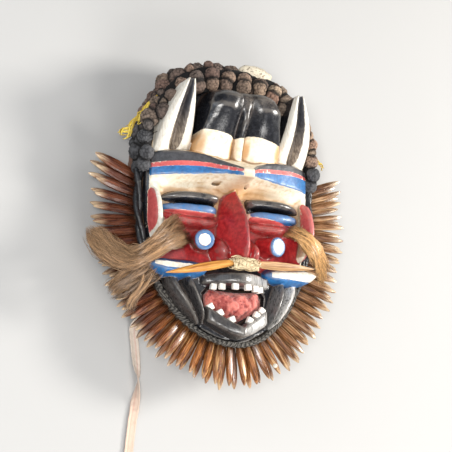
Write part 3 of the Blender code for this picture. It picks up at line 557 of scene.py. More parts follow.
# Carved face. Every form is a table of stations in hundredths, read across the face or up it: (along,
# middle, half width, back, crest). The forehead's lobes and the jowls are a little fuller than the
# frame's own, and the breathing slits sit 4 mm to the side of the frame's, where the photo has them.
carving = {
    "brow": (   # across, lower edge, upper edge, how far out, how far its top slopes up
        (5, -0.8, 2.3, 97.5, 9), (19, 0.6, 5.0, 84, 5), (35, 0.7, 7.0, 76, 4), (53, 0.0, 8.0, 73, 3),
        (68, -0.3, 8.3, 70, 2), (82, -0.5, 8.2, 65, 1), (96, -0.7, 7.7, 57, 0.4),
    ),
    "lobes": (  # up, half width, then the levels of the edge, the dome, the valley and the rib
        (5, 52, 62, 70, 64, 70), (7, 52, 67, 75, 67, 75), (10, 52, 72, 79.5, 70, 77.5),
        (15, 48.5, 81, 87.5, 75, 83.5), (20.7, 44.5, 89, 98, 87, 94),
        (24, 43.5, 92, 102, 94, 95.5), (27, 39.5, 90, 102, 96.5, 97),
        (29.2, 36, 84, 95.5, 92, 92.5), (30.7, 32.5, 73, 82, 80, 80.2), (31.5, 29, 60, 64, 63, 63),
    ),
    "rib": (    # half width of the rib between the lobes, how much of its rise it has there
        (5.6, 0.05), (4.4, 0.45), (3.2, 0.85), (2, 1), (0, 1.06),
    ),
    "ribFoot": 6.4,
    "domeAt": 0.42,         # where a lobe is highest, from the rib to its edge
    "domeRings": (0.985, 0.95, 0.9, 0.83, 0.75, 0.66, 0.57, 0.49, 0.42, 0.34, 0.26, 0.19, 0.12, 0.06, 0),
    "browCove": ((5.2, 0.0), (3.4, 0.10), (1.9, 0.30), (0.8, 0.58), (0.2, 0.82)),   # below the brow, rise
    "horn": (   # up, middle, half width, crest, depth of the groove
        (7.3, 73, 20, 58, 1), (10, 73, 20, 65, 9), (15.6, 73, 18.4, 78, 12), (21.7, 71.6, 14.4, 88, 11),
        (27.7, 68.6, 8.8, 94, 8), (31.5, 67, 4.4, 97, 4),
    ),
    "upperLid": (
        (18.5, -6.8, 1.2, 42, 62), (22, -6.8, 1.9, 42, 66.5), (36, -6.7, 2.1, 42, 69),
        (50.5, -6.7, 2.1, 42, 69.5), (66, -6.9, 2.0, 42, 67.5), (78, -7.4, 1.6, 42, 62),
        (84, -7.8, 0.9, 42, 57),
    ),
    "lowerLid": (
        (19.5, -10.9, 0.9, 42, 59), (24, -11.2, 1.7, 42, 66), (36, -11.3, 2.1, 42, 69.5),
        (50.5, -11.4, 2.1, 42, 70), (66, -11.3, 2.0, 42, 68), (77, -11.2, 1.6, 42, 63),
        (83, -11.0, 0.8, 42, 57),
    ),
    "pouch": (
        (17, -14.6, 1.0, 42, 57), (27, -15.2, 2.1, 42, 64.5), (40, -15.6, 2.5, 42, 67),
        (52, -15.6, 2.5, 42, 67), (65, -15, 2.3, 42, 65), (76, -14, 1.8, 42, 60), (84, -13.2, 0.7, 42, 55),
    ),
    "nose": (
        (2, 0, 5, 44, 55), (-3.7, 0, 11, 44, 67), (-8.3, 0, 16, 44, 78), (-12.3, 0, 20, 44, 87),
        (-19, 0, 25, 44, 94), (-24, 0, 26, 44, 95), (-27.3, 0, 24, 44, 91.5), (-29.4, 0, 17, 44, 77),
    ),
    "nostril": (
        (-20, 19, 2, 48, 60), (-22.6, 20, 8, 48, 74), (-25.4, 19, 11, 48, 79), (-28, 17.5, 10, 48, 76),
        (-29.6, 16, 4, 48, 66),
    ),
    "sideStrip": (
        (-4.5, 93, 2.5, 44, 57), (-6, 93, 5, 44, 64), (-10, 93, 5, 44, 71), (-15, 93, 5, 44, 74),
        (-20, 90.7, 4.8, 44, 72.5), (-24, 88, 4.6, 44, 64), (-25.6, 87, 2.4, 44, 57),
    ),
    "lens": (
        (35, -32, 0.8, 46, 68), (40, -32, 2.1, 46, 72), (50, -32.1, 2.9, 46, 73.5),
        (67, -32.2, 3.2, 46, 73.5), (80.5, -31.9, 2.9, 46, 72.5), (85, -31.8, 2.7, 56, 72),
        (95, -31.3, 1.7, 56, 70), (101, -30.9, 0.5, 56, 67),
    ),
    "upperLip": (
        (0, -35.1, 2.1, 48, 88), (9, -35, 2.1, 48, 84.5), (20, -34.9, 2.1, 48, 78), (31, -35, 1.9, 48, 70),
        (39, -35.2, 1.6, 48, 65), (42, -35.3, 1.1, 48, 56),
    ),
    "lowerLip": (
        (0, -53.1, 1.9, 50, 84), (12, -51.55, 2.35, 50, 79), (24, -49.35, 2.6, 50, 74.5),
        (35, -47.15, 2.75, 50, 70), (38.5, -46.4, 1.9, 50, 62),
    ),
    "outerJowl": (
        (-34.5, 73.5, 7.4, 49, 62), (-38, 69.5, 8.8, 50, 67), (-43, 60.8, 8.0, 51, 70),
        (-47.5, 51.2, 5.0, 52, 69), (-50.4, 44.2, 1.7, 52, 62),
    ),
    "innerJowl": (
        (-34.5, 57, 7, 46, 66), (-38, 54, 7.5, 46, 74), (-43, 48, 6.2, 46, 76), (-47.5, 42.6, 4.2, 46, 74),
        (-50.5, 39.8, 1.5, 46, 64),
    ),
    "fullness": {
        "upperLid": 2.6, "lowerLid": 3.5, "pouch": 2.2, "nose": 1.15, "nostril": 2.0, "sideStrip": 3.5,
        "lens": 2.8, "upperLip": 6.5, "lowerLip": 6.5, "outerJowl": 1.8, "innerJowl": 1.6,
    },
    "upTheFace": ("nose", "nostril", "sideStrip", "outerJowl", "innerJowl"),
    "tube": ((36, -21.4, 46), (45, -22.8, 80)),
    "tubeRadius": 0.0104,
    "tubeTurning": ((0, 1.04), (0.5, 0.99), (0.93, 1.0), (0.98, 0.98), (1.0, 0.90)),
    "mouth": (
        (0, -37.3), (32, -37.3), (38, -39.6), (37.5, -43.8), (24, -46.75), (12, -49.2), (0, -51.2),
    ),
    "mouthFloor": 52,
    "eyeSlit": (21, 73, -9.0, 0.0030),      # its two ends, its height and how wide it is open
    "breathSlits": ((-21, -1.1), (12, -1.4), 0.0100, 0.0036),   # places, length and width
    "floorLevels": (
        (-58, 70), (-38, 61), (-25, 58), (-15, 57), (-5, 52), (0, 49), (6, 52), (15, 56), (41, 55),
    ),
    "edgeLevels": ((-58, 68), (-52, 62), (-44, 56), (-36, 53), (-20, 55), (41, 56)),
    "edgeRounding": 3.5,
    "innerLevel": 40,
    "rimWidth": 0.010,
    "rimHeight": 0.05,
    "frontRings": (
        0.03, 0.12, 0.22, 0.32, 0.42, 0.52, 0.62, 0.7, 0.76, 0.82, 0.87, 0.91, 0.94, 0.96, 0.98, 0.992, 1.0,
    ),
    "rimRings": (0.6, 0.2, 0.0),
    "hollowRings": (1.0, 0.985, 0.96, 0.92, 0.86, 0.78, 0.68, 0.55, 0.4, 0.2, 0.04),
    "voxel": 0.00100,
    "toolMark": 0.00020,
    "adzeMark": 3.0,        # how much coarser the marks inside the hollow are
    "triangles": 186000,
    "backRatio": 0.16,
}


def bothSides(stations):
    left = [(-row[0], *row[1:]) for row in reversed(stations) if row[0] > 0]
    return left + list(stations)


def ribForm(name, side=1, steps=4, sides=18, mirrored=False):
    fullness = carving["fullness"][name]
    upTheFace = name in carving["upTheFace"]
    rows = smoothRows(carving[name], steps)
    if mirrored:    # the two halves meet in a sharp edge
        rows = np.concatenate((rows[:0:-1] * (-1, 1, 1, 1, 1), rows))
    rings = []
    for along, middle, half, back, crest in rows:
        ring = []
        for n in range(sides + 1):
            turn = math.pi * n / sides
            toSide = middle + half * signedPower(math.cos(turn), 2 / fullness)
            out = back + (crest - back) * abs(math.sin(turn)) ** (2 / fullness)
            ring.append(spot(side * toSide, along, out) if upTheFace else spot(side * along, toSide, out))
        rings.append(ring)
    return loft(name, rings)


def browForm():
    rings = []
    for across, low, high, out, slope in smoothRows(bothSides(carving["brow"]), 5):
        section = [(low - carving["browCove"][0][0], 44)]
        section += [(low - drop, 53 + share * (out - 53)) for drop, share in carving["browCove"]]
        section += [
            (low, out - 1.4), (low + 0.5, out), (high - 0.4, out), (high, out - 1.6), (high + slope, 50),
            (high + slope, 44),
        ]
        rings.append([spot(across, up, level) for up, level in section])
    return loft("brow", rings)


def lobesForm():
    foot, crown = carving["ribFoot"], carving["domeAt"]
    rings = []
    for up, half, edge, dome, valley, ridge in smoothRows(carving["lobes"], 6):
        right = [(half, 42), (half, edge - 4)]
        for share in carving["domeRings"]:
            if share < crown:
                level = dome - (dome - valley) * (1 - share / crown) ** 2.2
            else:
                level = dome - (dome - edge) * ((share - crown) / (1 - crown)) ** 2.6
            right.append((foot + (half - foot) * share, level))
        rise = ridge - valley
        right += [(across, valley + share * rise) for across, share in carving["rib"]]
        left = [(-across, out) for across, out in reversed(right[:-1])]
        rings.append([spot(across, up, out) for across, out in right + left])
    return loft("lobes", rings)


def hornForm(side):
    rings = []
    for up, middle, half, crest, groove in smoothRows(carving["horn"], 6):
        top = [(-1, crest - 6), (-0.72, crest), (-0.36, crest - 1), (0, crest - groove)]
        top += [(-share, out) for share, out in reversed(top[:-1])]
        dense = smoothRows([(share * half, out) for share, out in top], 3, byLength=True)
        section = [(-half, 42)] + [tuple(p) for p in dense] + [(half, 42)]
        rings.append([spot(side * (middle + offset), up, out) for offset, out in section])
    return loft("horn", rings)


def tubeEnds(side):
    return [spot(side * place[0], *place[1:]) for place in carving["tube"]]


def tubeForm(side):
    start, end = tubeEnds(side)
    axis = (end - start).normalized()
    wide = axis.cross(Vector((0, 1, 0))).normalized()
    high = wide.cross(axis)
    rings = []
    for share, size in carving["tubeTurning"]:
        centre, radius = start.lerp(end, share), size * carving["tubeRadius"]
        rings.append([centre + radius * (math.cos(t) * wide + math.sin(t) * high) for t in fullTurn(40)])
    return loft("tube", rings)


def frontLevel(y, reach):
    up = 100 * y / wood["height"]
    middle = tableValue(carving["floorLevels"], up)
    edge = tableValue(carving["edgeLevels"], up)
    rounding = carving["edgeRounding"] * smoothStep(0.94, 1.0, reach)
    level = middle + (edge - middle) * smoothStep(0.7, 0.92, reach) - rounding
    return float(level) / 100 * wood["depth"]


def shellForm():
    # Out over the front from the middle, round the edge to the flat rim, then up inside the hollow
    centre = bridge + Vector((0, wood["widest"], 0))
    innerReach = 1 - carving["rimWidth"] / wood["halfWidth"]
    ceiling = carving["innerLevel"] / 100 * wood["depth"]

    def ring(reach, heightAt):
        places = [centre + (outline(angle) - centre) * reach for angle in fullTurn(120)]
        return [atLevel(p, heightAt(p)) for p in places]

    rings = [ring(reach, lambda p: frontLevel(p.y - bridge.y, reach)) for reach in carving["frontRings"]]
    rings += [ring(1.0, lambda p: share * carving["rimHeight"]) for share in carving["rimRings"]]
    for share in carving["hollowRings"]:
        reach = innerReach * share
        rings.append(ring(reach, lambda p: ceiling * (1 - (reach / innerReach) ** 8)))
    return loft("shell", rings)


def prism(name, corners, low, high):
    return loft(name, [[atLevel(p, z) for p in corners] for z in (low, high)])


def eyeSlitOutline(side):
    # A long leaf, a little bowed as the lids are
    inner, outer, up, gap = carving["eyeSlit"]
    middle, half = side * (inner + outer) / 2, (outer - inner) / 2
    edge = []
    for turn in fullTurn(24):
        rise = up - 0.25 * math.cos(turn) ** 2 + 50 * gap / wood["height"] * signedPower(math.sin(turn), 0.7)
        edge.append(spot(middle + half * math.cos(turn), rise, 0))
    return edge


def breathSlitOutline(place):
    *_, length, gap = carving["breathSlits"]
    return [
        spot(*place, 0) + Vector((
            length / 2 * signedPower(math.cos(turn), 0.8), gap / 2 * signedPower(math.sin(turn), 0.8), 0,
        )) for turn in fullTurn(12)
    ]


def faceCutters():
    left = [(-across, up) for across, up in reversed(carving["mouth"][1:-1])]
    corners = [spot(across, up, 0) for across, up in list(carving["mouth"]) + left]
    mouth = prism("mouthCutter", corners, spot(0, 0, carving["mouthFloor"]).z, 0.12)
    slits = []
    for side, breath in zip((-1, 1), carving["breathSlits"]):
        slits.append(prism("eyeCutter", eyeSlitOutline(side), 0.02, 0.09))
        slits.append(prism("breathCutter", breathSlitOutline(breath), 0.02, 0.075))
    return mouth, slits


def smoothedCopy(points, edges, rounds):
    # Each point moved towards the mean of its neighbours, many times over
    count = len(points)
    links = np.bincount(edges.ravel(), minlength=count)[:, None]
    moved = points.copy()
    for _ in range(rounds):
        total = np.zeros_like(moved)
        for k in range(3):
            total[:, k] += np.bincount(edges[:, 0], moved[edges[:, 1], k], count)
            total[:, k] += np.bincount(edges[:, 1], moved[edges[:, 0], k], count)
        moved = 0.3 * moved + 0.7 * total / np.maximum(links, 1)
    return moved


def edgePairs(thing):
    flat = np.empty(len(thing.data.edges) * 2, np.int32)
    thing.data.edges.foreach_get("vertices", flat)
    return flat.reshape(-1, 2)


def treeOf(things):
    points, faces = [], []
    for thing in things:
        first = len(points)
        points += [v.co.copy() for v in thing.data.vertices]
        faces += [[first + k for k in face.vertices] for face in thing.data.polygons]
    return BVHTree.FromPolygons(points, faces)


def distancesTo(tree, points, limit):
    found = np.full(len(points), limit)
    for n, p in enumerate(points):
        distance = tree.find_nearest(p, limit)[3]
        if distance is not None:
            found[n] = distance
    return found


def carveFace():
    mouth, slits = faceCutters()
    groups = {
        "shell": [shellForm()], "brow": [browForm()], "lobes": [lobesForm()],
        "nose": [ribForm("nose", sides=24)],
        "lips": [ribForm("upperLip", mirrored=True), ribForm("lowerLip", mirrored=True)],
        "horn": [hornForm(-1), hornForm(1)], "tube": [tubeForm(-1), tubeForm(1)],
    }
    for name in ("upperLid", "lowerLid", "pouch", "nostril", "sideStrip", "lens", "outerJowl", "innerJowl"):
        groups[name] = [ribForm(name, side) for side in (-1, 1)]
    for form in groups["shell"] + groups["lips"]:
        cutWith(form, mouth)
    for form in groups["shell"] + groups["nose"] + groups["upperLid"] + groups["lowerLid"] + groups["brow"]:
        for slit in slits:
            cutWith(form, slit)
    for cutter in [mouth, *slits]:
        bpy.data.objects.remove(cutter)
    trees = {name: treeOf(forms) for name, forms in groups.items()}
    face = joined("painted_face", [form for forms in groups.values() for form in forms])
    return remade(face, carving["voxel"], 3), trees


def toolMarks(points, normals):
    # Knife facets in front, a coarser adze inside the hollow, and a plain rim
    local = points - np.array(bridge)
    facets = field(local * (1, 0.6, 1), 0.008, 1) + 0.5 * field(local, 0.0035, 2)
    rough = np.where((normals[:, 2] < 0) & (local[:, 2] > 0.002), carving["adzeMark"], 1.0)
    rough = np.where(local[:, 2] < 0.002, 0.0, rough)
    return carving["toolMark"] * facets * rough


def lightenTheBack(face):
    # The hollow needs fewer faces than the front
    normals, points = vertexNormals(face), coordinates(face)
    behind = (normals[:, 2] < -0.2) & (points[:, 2] < 0.042) | (points[:, 2] < 0.03)
    pickOnly(face)
    bpy.ops.object.mode_set(mode="EDIT")
    bpy.ops.mesh.select_all(action="DESELECT")
    bpy.ops.object.mode_set(mode="OBJECT")
    face.data.vertices.foreach_set("select", behind)
    bpy.ops.object.mode_set(mode="EDIT")
    bpy.ops.mesh.select_mode(type="VERT")
    bpy.ops.mesh.decimate(ratio=carving["backRatio"])
    bpy.ops.object.mode_set(mode="OBJECT")
    applied(face, "DECIMATE", ratio=min(1.0, carving["triangles"] / triangleCount(face)))


# Where each paint lies, in the hundredths of the carving, and the margins in millimetres
painting = {
    # across, then the share of the brow's height from its top where the charcoal and the coral end
    "browLeft": ((6, 0.30, 0.62), (20, 0.36, 0.66), (45, 0.40, 0.61), (90, 0.46, 0.65)),
    "browRight": ((6, 0.28, 0.60), (45, 0.32, 0.52), (90, 0.26, 0.40)),
    "browFrom": 6.5,
    "lobeBlackFrom": ((-45, 15.5), (-10, 14.2), (4, 14.2), (8, 15.4), (45, 13.5)),
    "recessBlackFrom": 15.8,
    "recess": (30, 70),
    "grooveHalf": ((9, 0.34), (24, 0.42), (31, 0.56)),  # up, share of the horn's half width
    "grooveFoot": (9.0, 2.4),
    "eyeHollow": (20, 74, -9.0, 1.3),       # its two ends, its middle and half height
    "lidLineLeft": ((20, -12.3), (45, -12.5), (80, -12.0)),
    "lidLineRight": ((20, -11.6), (50, -12.7), (80, -13.8)),
    "noseRed": (-3.4, 0.13),                # where it starts, and how fast it drops to the side
    "cheekRed": (-12.5, -31.0, 80),         # top, foot and side
    "lowCheekRed": (-18, 89),
    "stripTurnsRed": (95.5, 88),            # left, right
    "stripFoot": -24,
    "temple": (-18, -8.5, 78, 89),
    "tubePaint": (1.7, 12.0, 6.3),          # depth of the blue, its radius and the white's, in mm
    "wingWhiteLeft": 0.30,                  # share of the wing's half height
    # the right wing's white, widening at its end partly into a painted highlight
    "wingWhiteAndHighlightRight": ((55, 0.42), (74, 0.52), (92, 0.98), (100, 1.5)),
    "wingWhiteEnds": (41, 97, 110),         # inner, outer left, outer right
    "jawBlackFrom": -31.0,
    "underNose": (-34, -28.6, 30, 88),
    "edgeBlack": (0.972, -25, 15),          # share of the way out, from and to
    "bareBelow": 44,
    # middle and half size across, middle and half size up, strength, of ochre spots of painted shade in
    # grooves and hollows
    "ochreShadeSpots": ((9, 5, 10.5, 4.5, 1), (50, 10, 11, 5.5, 1), (0, 16, -1.5, 4, 0.6)),
    # ochre painted shade in a band under the brow
    "ochreShadeBrow": (12, 62, -3.0, 3.2, 0.75),
    "wornHorn": (24, 11),
    "reach": 0.006,
    "frontFrom": 30,
}
perUp, perAcross = wood["height"] * 10, wood["halfWidth"] * 10     # millimetres in a hundredth


# A zone is each point's distance in millimetres to its border, above 0 inside
def anyOf(*zones):
    return np.maximum.reduce(zones)


def allOf(*zones):
    return np.minimum.reduce(zones)


def facePlaces(face, trees):
    # The face's points in hundredths, and how far in millimetres each is from every carved form
    points = coordinates(face)
    local = (points - np.array(bridge)) * 1000
    across = local[:, 0] / wood["halfWidth"] / 10
    front = np.flatnonzero(local[:, 2] > painting["frontFrom"])
    near = [Vector(p) for p in points[front]]
    gaps = {}
    for name, tree in trees.items():
        gaps[name] = np.full(len(points), painting["reach"] * 1000)
        gaps[name][front] = distancesTo(tree, near, painting["reach"]) * 1000
    return SimpleNamespace(
        points=points, normals=vertexNormals(face), local=local, gaps=gaps,
        across=across, side=np.abs(across),
        up=local[:, 1] / wood["height"] / 10, out=local[:, 2] / wood["depth"] / 10,
    )


def on(at, *names):
    # The zone of the points that lie on these forms
    others = [gap for name, gap in at.gaps.items() if name not in names]
    return np.minimum.reduce(others) - np.minimum.reduce([at.gaps[name] for name in names])


def above(at, up):
    return (at.up - up) * perUp


def below(at, up):
    return (up - at.up) * perUp


def outside(at, side):
    return (at.side - side) * perAcross


def inside(at, side):
    return (side - at.side) * perAcross


def browPaint(at):
    low, high = (tableValue(carving["brow"], at.side, column) for column in (1, 2))
    fromTop, tall = (high - at.up) / (high - low), (high - low) * perUp
    ends = []
    for column in (1, 2):
        left, right = (tableValue(painting[name], at.side, column) for name in ("browLeft", "browRight"))
        ends.append(np.where(at.across < 0, left, right))
    brow = allOf(
        on(at, "brow") + 0.8, outside(at, painting["browFrom"]), fromTop * tall + 0.2,
        (0.99 - fromTop) * tall - 0.4,
    )
    return {
        "charcoal": allOf(brow, (ends[0] - fromTop) * tall),
        "coral": allOf(brow, (fromTop - ends[0]) * tall, (ends[1] - fromTop) * tall),
        "blue": allOf(brow, (fromTop - ends[1]) * tall),
    }


def foreheadPaint(at):
    # Black lobes and walls, cream horns, and a charcoal groove down each horn that ends round
    middle, half, crest = (tableValue(carving["horn"], at.up, column) for column in (1, 2, 3))
    share = (at.side - middle) / np.maximum(half, 1)
    footShare, (foot, bow) = painting["grooveHalf"][0][1], painting["grooveFoot"]
    grooveEnd = foot + bow * (1 - np.sqrt(np.clip(1 - (share / footShare) ** 2, 0, 1)))
    grooveHalf = tableValue(painting["grooveHalf"], at.up)
    groove = allOf(
        on(at, "horn") + 0.5, (grooveHalf - np.abs(share)) * np.maximum(half, 3) * perAcross,
        above(at, grooveEnd), crest - 0.4 - at.out,
    )
    recessInner, recessOuter = painting["recess"]
    lobes = allOf(on(at, "lobes") + 1.2, above(at, tableValue(painting["lobeBlackFrom"], at.across)))
    walls = allOf(
        on(at, "horn", "shell", "lobes") + 1, inside(at, middle - half * 0.9), outside(at, recessInner),
        crest - 7 - at.out,
    )
    floor = allOf(on(at, "shell") + 1.5, inside(at, recessOuter))
    recess = allOf(anyOf(walls, floor), above(at, painting["recessBlackFrom"]))
    horn = allOf(on(at, "horn") + 0.5, -groove, at.out - 50)
    return {"black": anyOf(lobes, recess), "charcoal": groove, "white": horn, "groove": groove}


def eyePaint(at):
    inner, outer, middle, half = painting["eyeHollow"]
    hollow = allOf(
        (half - np.abs(at.up - middle)) * perUp * 0.9, outside(at, inner), inside(at, outer),
        at.out - 44, 64.5 - at.out,
    )
    left, right = (tableValue(painting[name], at.side) for name in ("lidLineLeft", "lidLineRight"))
    line = np.where(at.across < 0, left, right)
    lid = allOf(on(at, "lowerLid") - 0.1, outside(at, 21))
    return {
        "black": anyOf(on(at, "upperLid") - 0.1, hollow),
        "blue": allOf(lid, above(at, line)),
        "coral": allOf(lid, below(at, line)),
    }


def cheekPaint(at):
    strip = on(at, "sideStrip")
    noseTop, noseDrop = painting["noseRed"]
    top, foot, side = painting["cheekRed"]
    lowTop, lowSide = painting["lowCheekRed"]
    turnsRed = np.where(at.across < 0, *painting["stripTurnsRed"])
    wall = allOf(strip + 2.2, inside(at, turnsRed), above(at, painting["stripFoot"]))
    templeFoot, templeTop, templeInner, templeOuter = painting["temple"]
    temple = allOf(
        above(at, templeFoot), below(at, templeTop), outside(at, templeInner), inside(at, templeOuter),
        -strip,
    )
    return {
        "red": anyOf(
            allOf(on(at, "nose", "nostril") + 1.6, below(at, noseTop - noseDrop * at.side)),
            on(at, "pouch") + 1.0,
            on(at, "tube") + 0.4,
            allOf(below(at, top), inside(at, side), above(at, foot)),
            allOf(below(at, lowTop), inside(at, lowSide), above(at, foot), -strip),
        ),
        "coral": allOf(strip, outside(at, turnsRed)),
        "white": allOf(wall, -at.across * perAcross),
        "temple": anyOf(temple, allOf(wall, at.across * perAcross)),
    }


def tubePaint(at):
    # A blue ring round a rough white middle, on each tube's end
    deep, blueRadius, whiteRadius = painting["tubePaint"]
    blue, white = np.full(len(at.points), -4.0), np.full(len(at.points), -4.0)
    for side in (-1, 1):
        start, end = (np.array(place) for place in tubeEnds(side))
        axis = (end - start) / np.linalg.norm(end - start)
        fromEnd = at.points - end
        depth = fromEnd @ axis * 1000
        radius = np.linalg.norm(fromEnd - np.outer(fromEnd @ axis, axis), axis=1) * 1000
        near = allOf(depth + deep, blueRadius - radius)
        blue = anyOf(blue, near)
        white = anyOf(white, allOf(near, whiteRadius - radius))
    return blue, white


def wingPaint(at):
    # Blue round a white middle that fills the right wing's end, which is partly a painted highlight
    middle, half = (tableValue(carving["lens"], at.side, column) for column in (1, 2))
    offset = (at.up - middle) / np.maximum(half, 0.3)
    wing = on(at, "lens") + 0.6
    inner, outerLeft, outerRight = painting["wingWhiteEnds"]
    right = tableValue(painting["wingWhiteAndHighlightRight"], at.side)
    whiteHalf = np.where(at.across < 0, painting["wingWhiteLeft"], right) + 0.10 * field(at.points, 0.006, 12)
    white = allOf(
        wing, (whiteHalf - np.abs(offset - 0.10)) * half * perUp, outside(at, inner),
        inside(at, np.where(at.across < 0, outerLeft, outerRight)),
    )
    return {
        "white": white, "blue": allOf(wing, -white),
        "navy": allOf(wing, -white, (offset - 0.30) * half * perUp),
    }


def jawPaint(at):
    # The jaw, the line under the nose, the lips, and the wood's edge beside the cheeks
    foot, top, side, level = painting["underNose"]
    jaw = allOf(below(at, painting["jawBlackFrom"]), -(on(at, "lens") + 0.6))
    underNose = allOf(
        inside(at, side), above(at, foot), below(at, top), level - at.out, 0.6 - on(at, "nose", "nostril"),
    )
    inCrown = at.local[:, 1] > wood["widest"] * 1000
    (crownReach, crownFullness), (jawReach, jawFullness) = outlineHalf(True), outlineHalf(False)
    rise = np.abs(at.local[:, 1] / 1000 - wood["widest"]) / np.where(inCrown, crownReach, jawReach)
    fullness = np.where(inCrown, crownFullness, jawFullness)
    reach = ((at.side / 100) ** fullness + rise ** fullness) ** (1 / fullness)
    edgeFrom, edgeFoot, edgeTop = painting["edgeBlack"]
    edge = allOf(
        (reach - edgeFrom) * 95, above(at, edgeFoot), below(at, edgeTop), -on(at, "sideStrip") - 0.3,
    )
    return {"black": anyOf(jaw, underNose, on(at, "lips") + 0.5, edge)}


def hump(value, middle, half):
    return np.clip(1 - ((value - middle) / half) ** 2, 0, 1)


def storeWearAndPaintedLight(face, at, groove):
    # Hollows and crests, forehead dust, ochre spots of painted shade, where strokes run in streaks, painted
    # sheen on jowls and lips
    smooth = smoothedCopy(at.points, edgePairs(face), 30)
    onTop = smoothStep(21, 29, at.up) * smoothStep(-32, 4, at.across)
    valley = np.exp(-((at.across - 3) / 9) ** 2) * smoothStep(20, 26, at.up)
    spots = [
        strength * hump(at.side, across, wide) * hump(at.up, up, tall)
        for across, wide, up, tall, strength in painting["ochreShadeSpots"]
    ]
    across, wide, up, tall, strength = painting["ochreShadeBrow"]
    spots.append(strength * hump(at.across, across, wide) * hump(at.up, up, tall))
    outerJowl, innerJowl, lips = (on(at, name) for name in ("outerJowl", "innerJowl", "lips"))
    toRight = smoothStep(-12, 14, at.across)
    # painted sheen on the jowls and lips over grey streaks of paint, stronger to the right where the lamp is
    # reflected
    sheenAndGreyStreaks = np.clip(outerJowl + 0.4, 0, 1) * (0.35 + 0.65 * toRight) + 0.25 * np.clip(innerJowl, 0, 1)
    sheenAndGreyStreaks += np.clip(lips, 0, 1) * (0.25 + 0.5 * toRight)
    numbers = {
        "hollow": ((smooth - at.points) * at.normals).sum(1) * 1000,
        "dust": np.clip(np.maximum(onTop * 0.8, valley), 0, 1) * (on(at, "lobes") > -1),
        "ochreShade": np.maximum.reduce(spots),
        "streaks": np.clip(np.maximum(on(at, "horn"), on(at, "outerJowl", "innerJowl")) + 1, 0, 1),
        "worn": smoothStep(*painting["wornHorn"], at.up) * (groove > -1),
        "flecks": np.clip(on(at, "pouch") + 0.5, 0, 1),
        "sheenAndGreyStreaks": np.clip(sheenAndGreyStreaks, 0, 1),
        "toRight": toRight,
    }
    for name, values in numbers.items():
        storeNumber(face, name, values)


def paintFace(face, trees):
    at = facePlaces(face, trees)
    zones = {}

    def add(more):
        for name, zone in more.items():
            zones[name] = anyOf(zones[name], zone) if name in zones else zone

    for paint in (browPaint, foreheadPaint, eyePaint, cheekPaint):
        add(paint(at))
    groove = zones.pop("groove")
    tubeBlue, tubeWhite = tubePaint(at)
    for name in ("blue", "white"):
        zones[name] = allOf(zones[name], -tubeBlue)
    add({"blue": allOf(tubeBlue, -tubeWhite), "white": tubeWhite})
    add(wingPaint(at))
    add(jawPaint(at))
    add({"bare": anyOf(painting["bareBelow"] - at.out, 1.0 - (at.normals[:, 2] + 0.35) * 6)})
    for name, zone in zones.items():
        storeNumber(face, name, np.clip(zone, -4, 4))
    storeWearAndPaintedLight(face, at, groove)


# Paint colours, each a darker and a lighter shade, then roughness
paints = {
    "temple": ((0.36, 0.24, 0.13), (0.60, 0.46, 0.30), 0.5),
    "red": ((0.24, 0.007, 0.011), (0.50, 0.030, 0.032), 0.30),
    "coral": ((0.50, 0.065, 0.065), (0.66, 0.125, 0.115), 0.5),
    "blue": ((0.010, 0.085, 0.250), (0.020, 0.165, 0.420), 0.42),
    "navy": ((0.006, 0.030, 0.095), (0.014, 0.080, 0.210), 0.42),
    "white": ((0.70, 0.63, 0.51), (0.86, 0.83, 0.76), 0.45),
    "charcoal": ((0.020, 0.020, 0.024), (0.055, 0.056, 0.064), 0.48),
    "black": ((0.006, 0.006, 0.008), (0.022, 0.023, 0.028), 0.22),
    "bare": ((0.07, 0.036, 0.018), (0.17, 0.095, 0.05), 0.75),
}
cream = {
    "dark": (0.66, 0.50, 0.30), "light": (0.86, 0.78, 0.63), "ochre": (0.50, 0.24, 0.06), "roughness": 0.45,
}


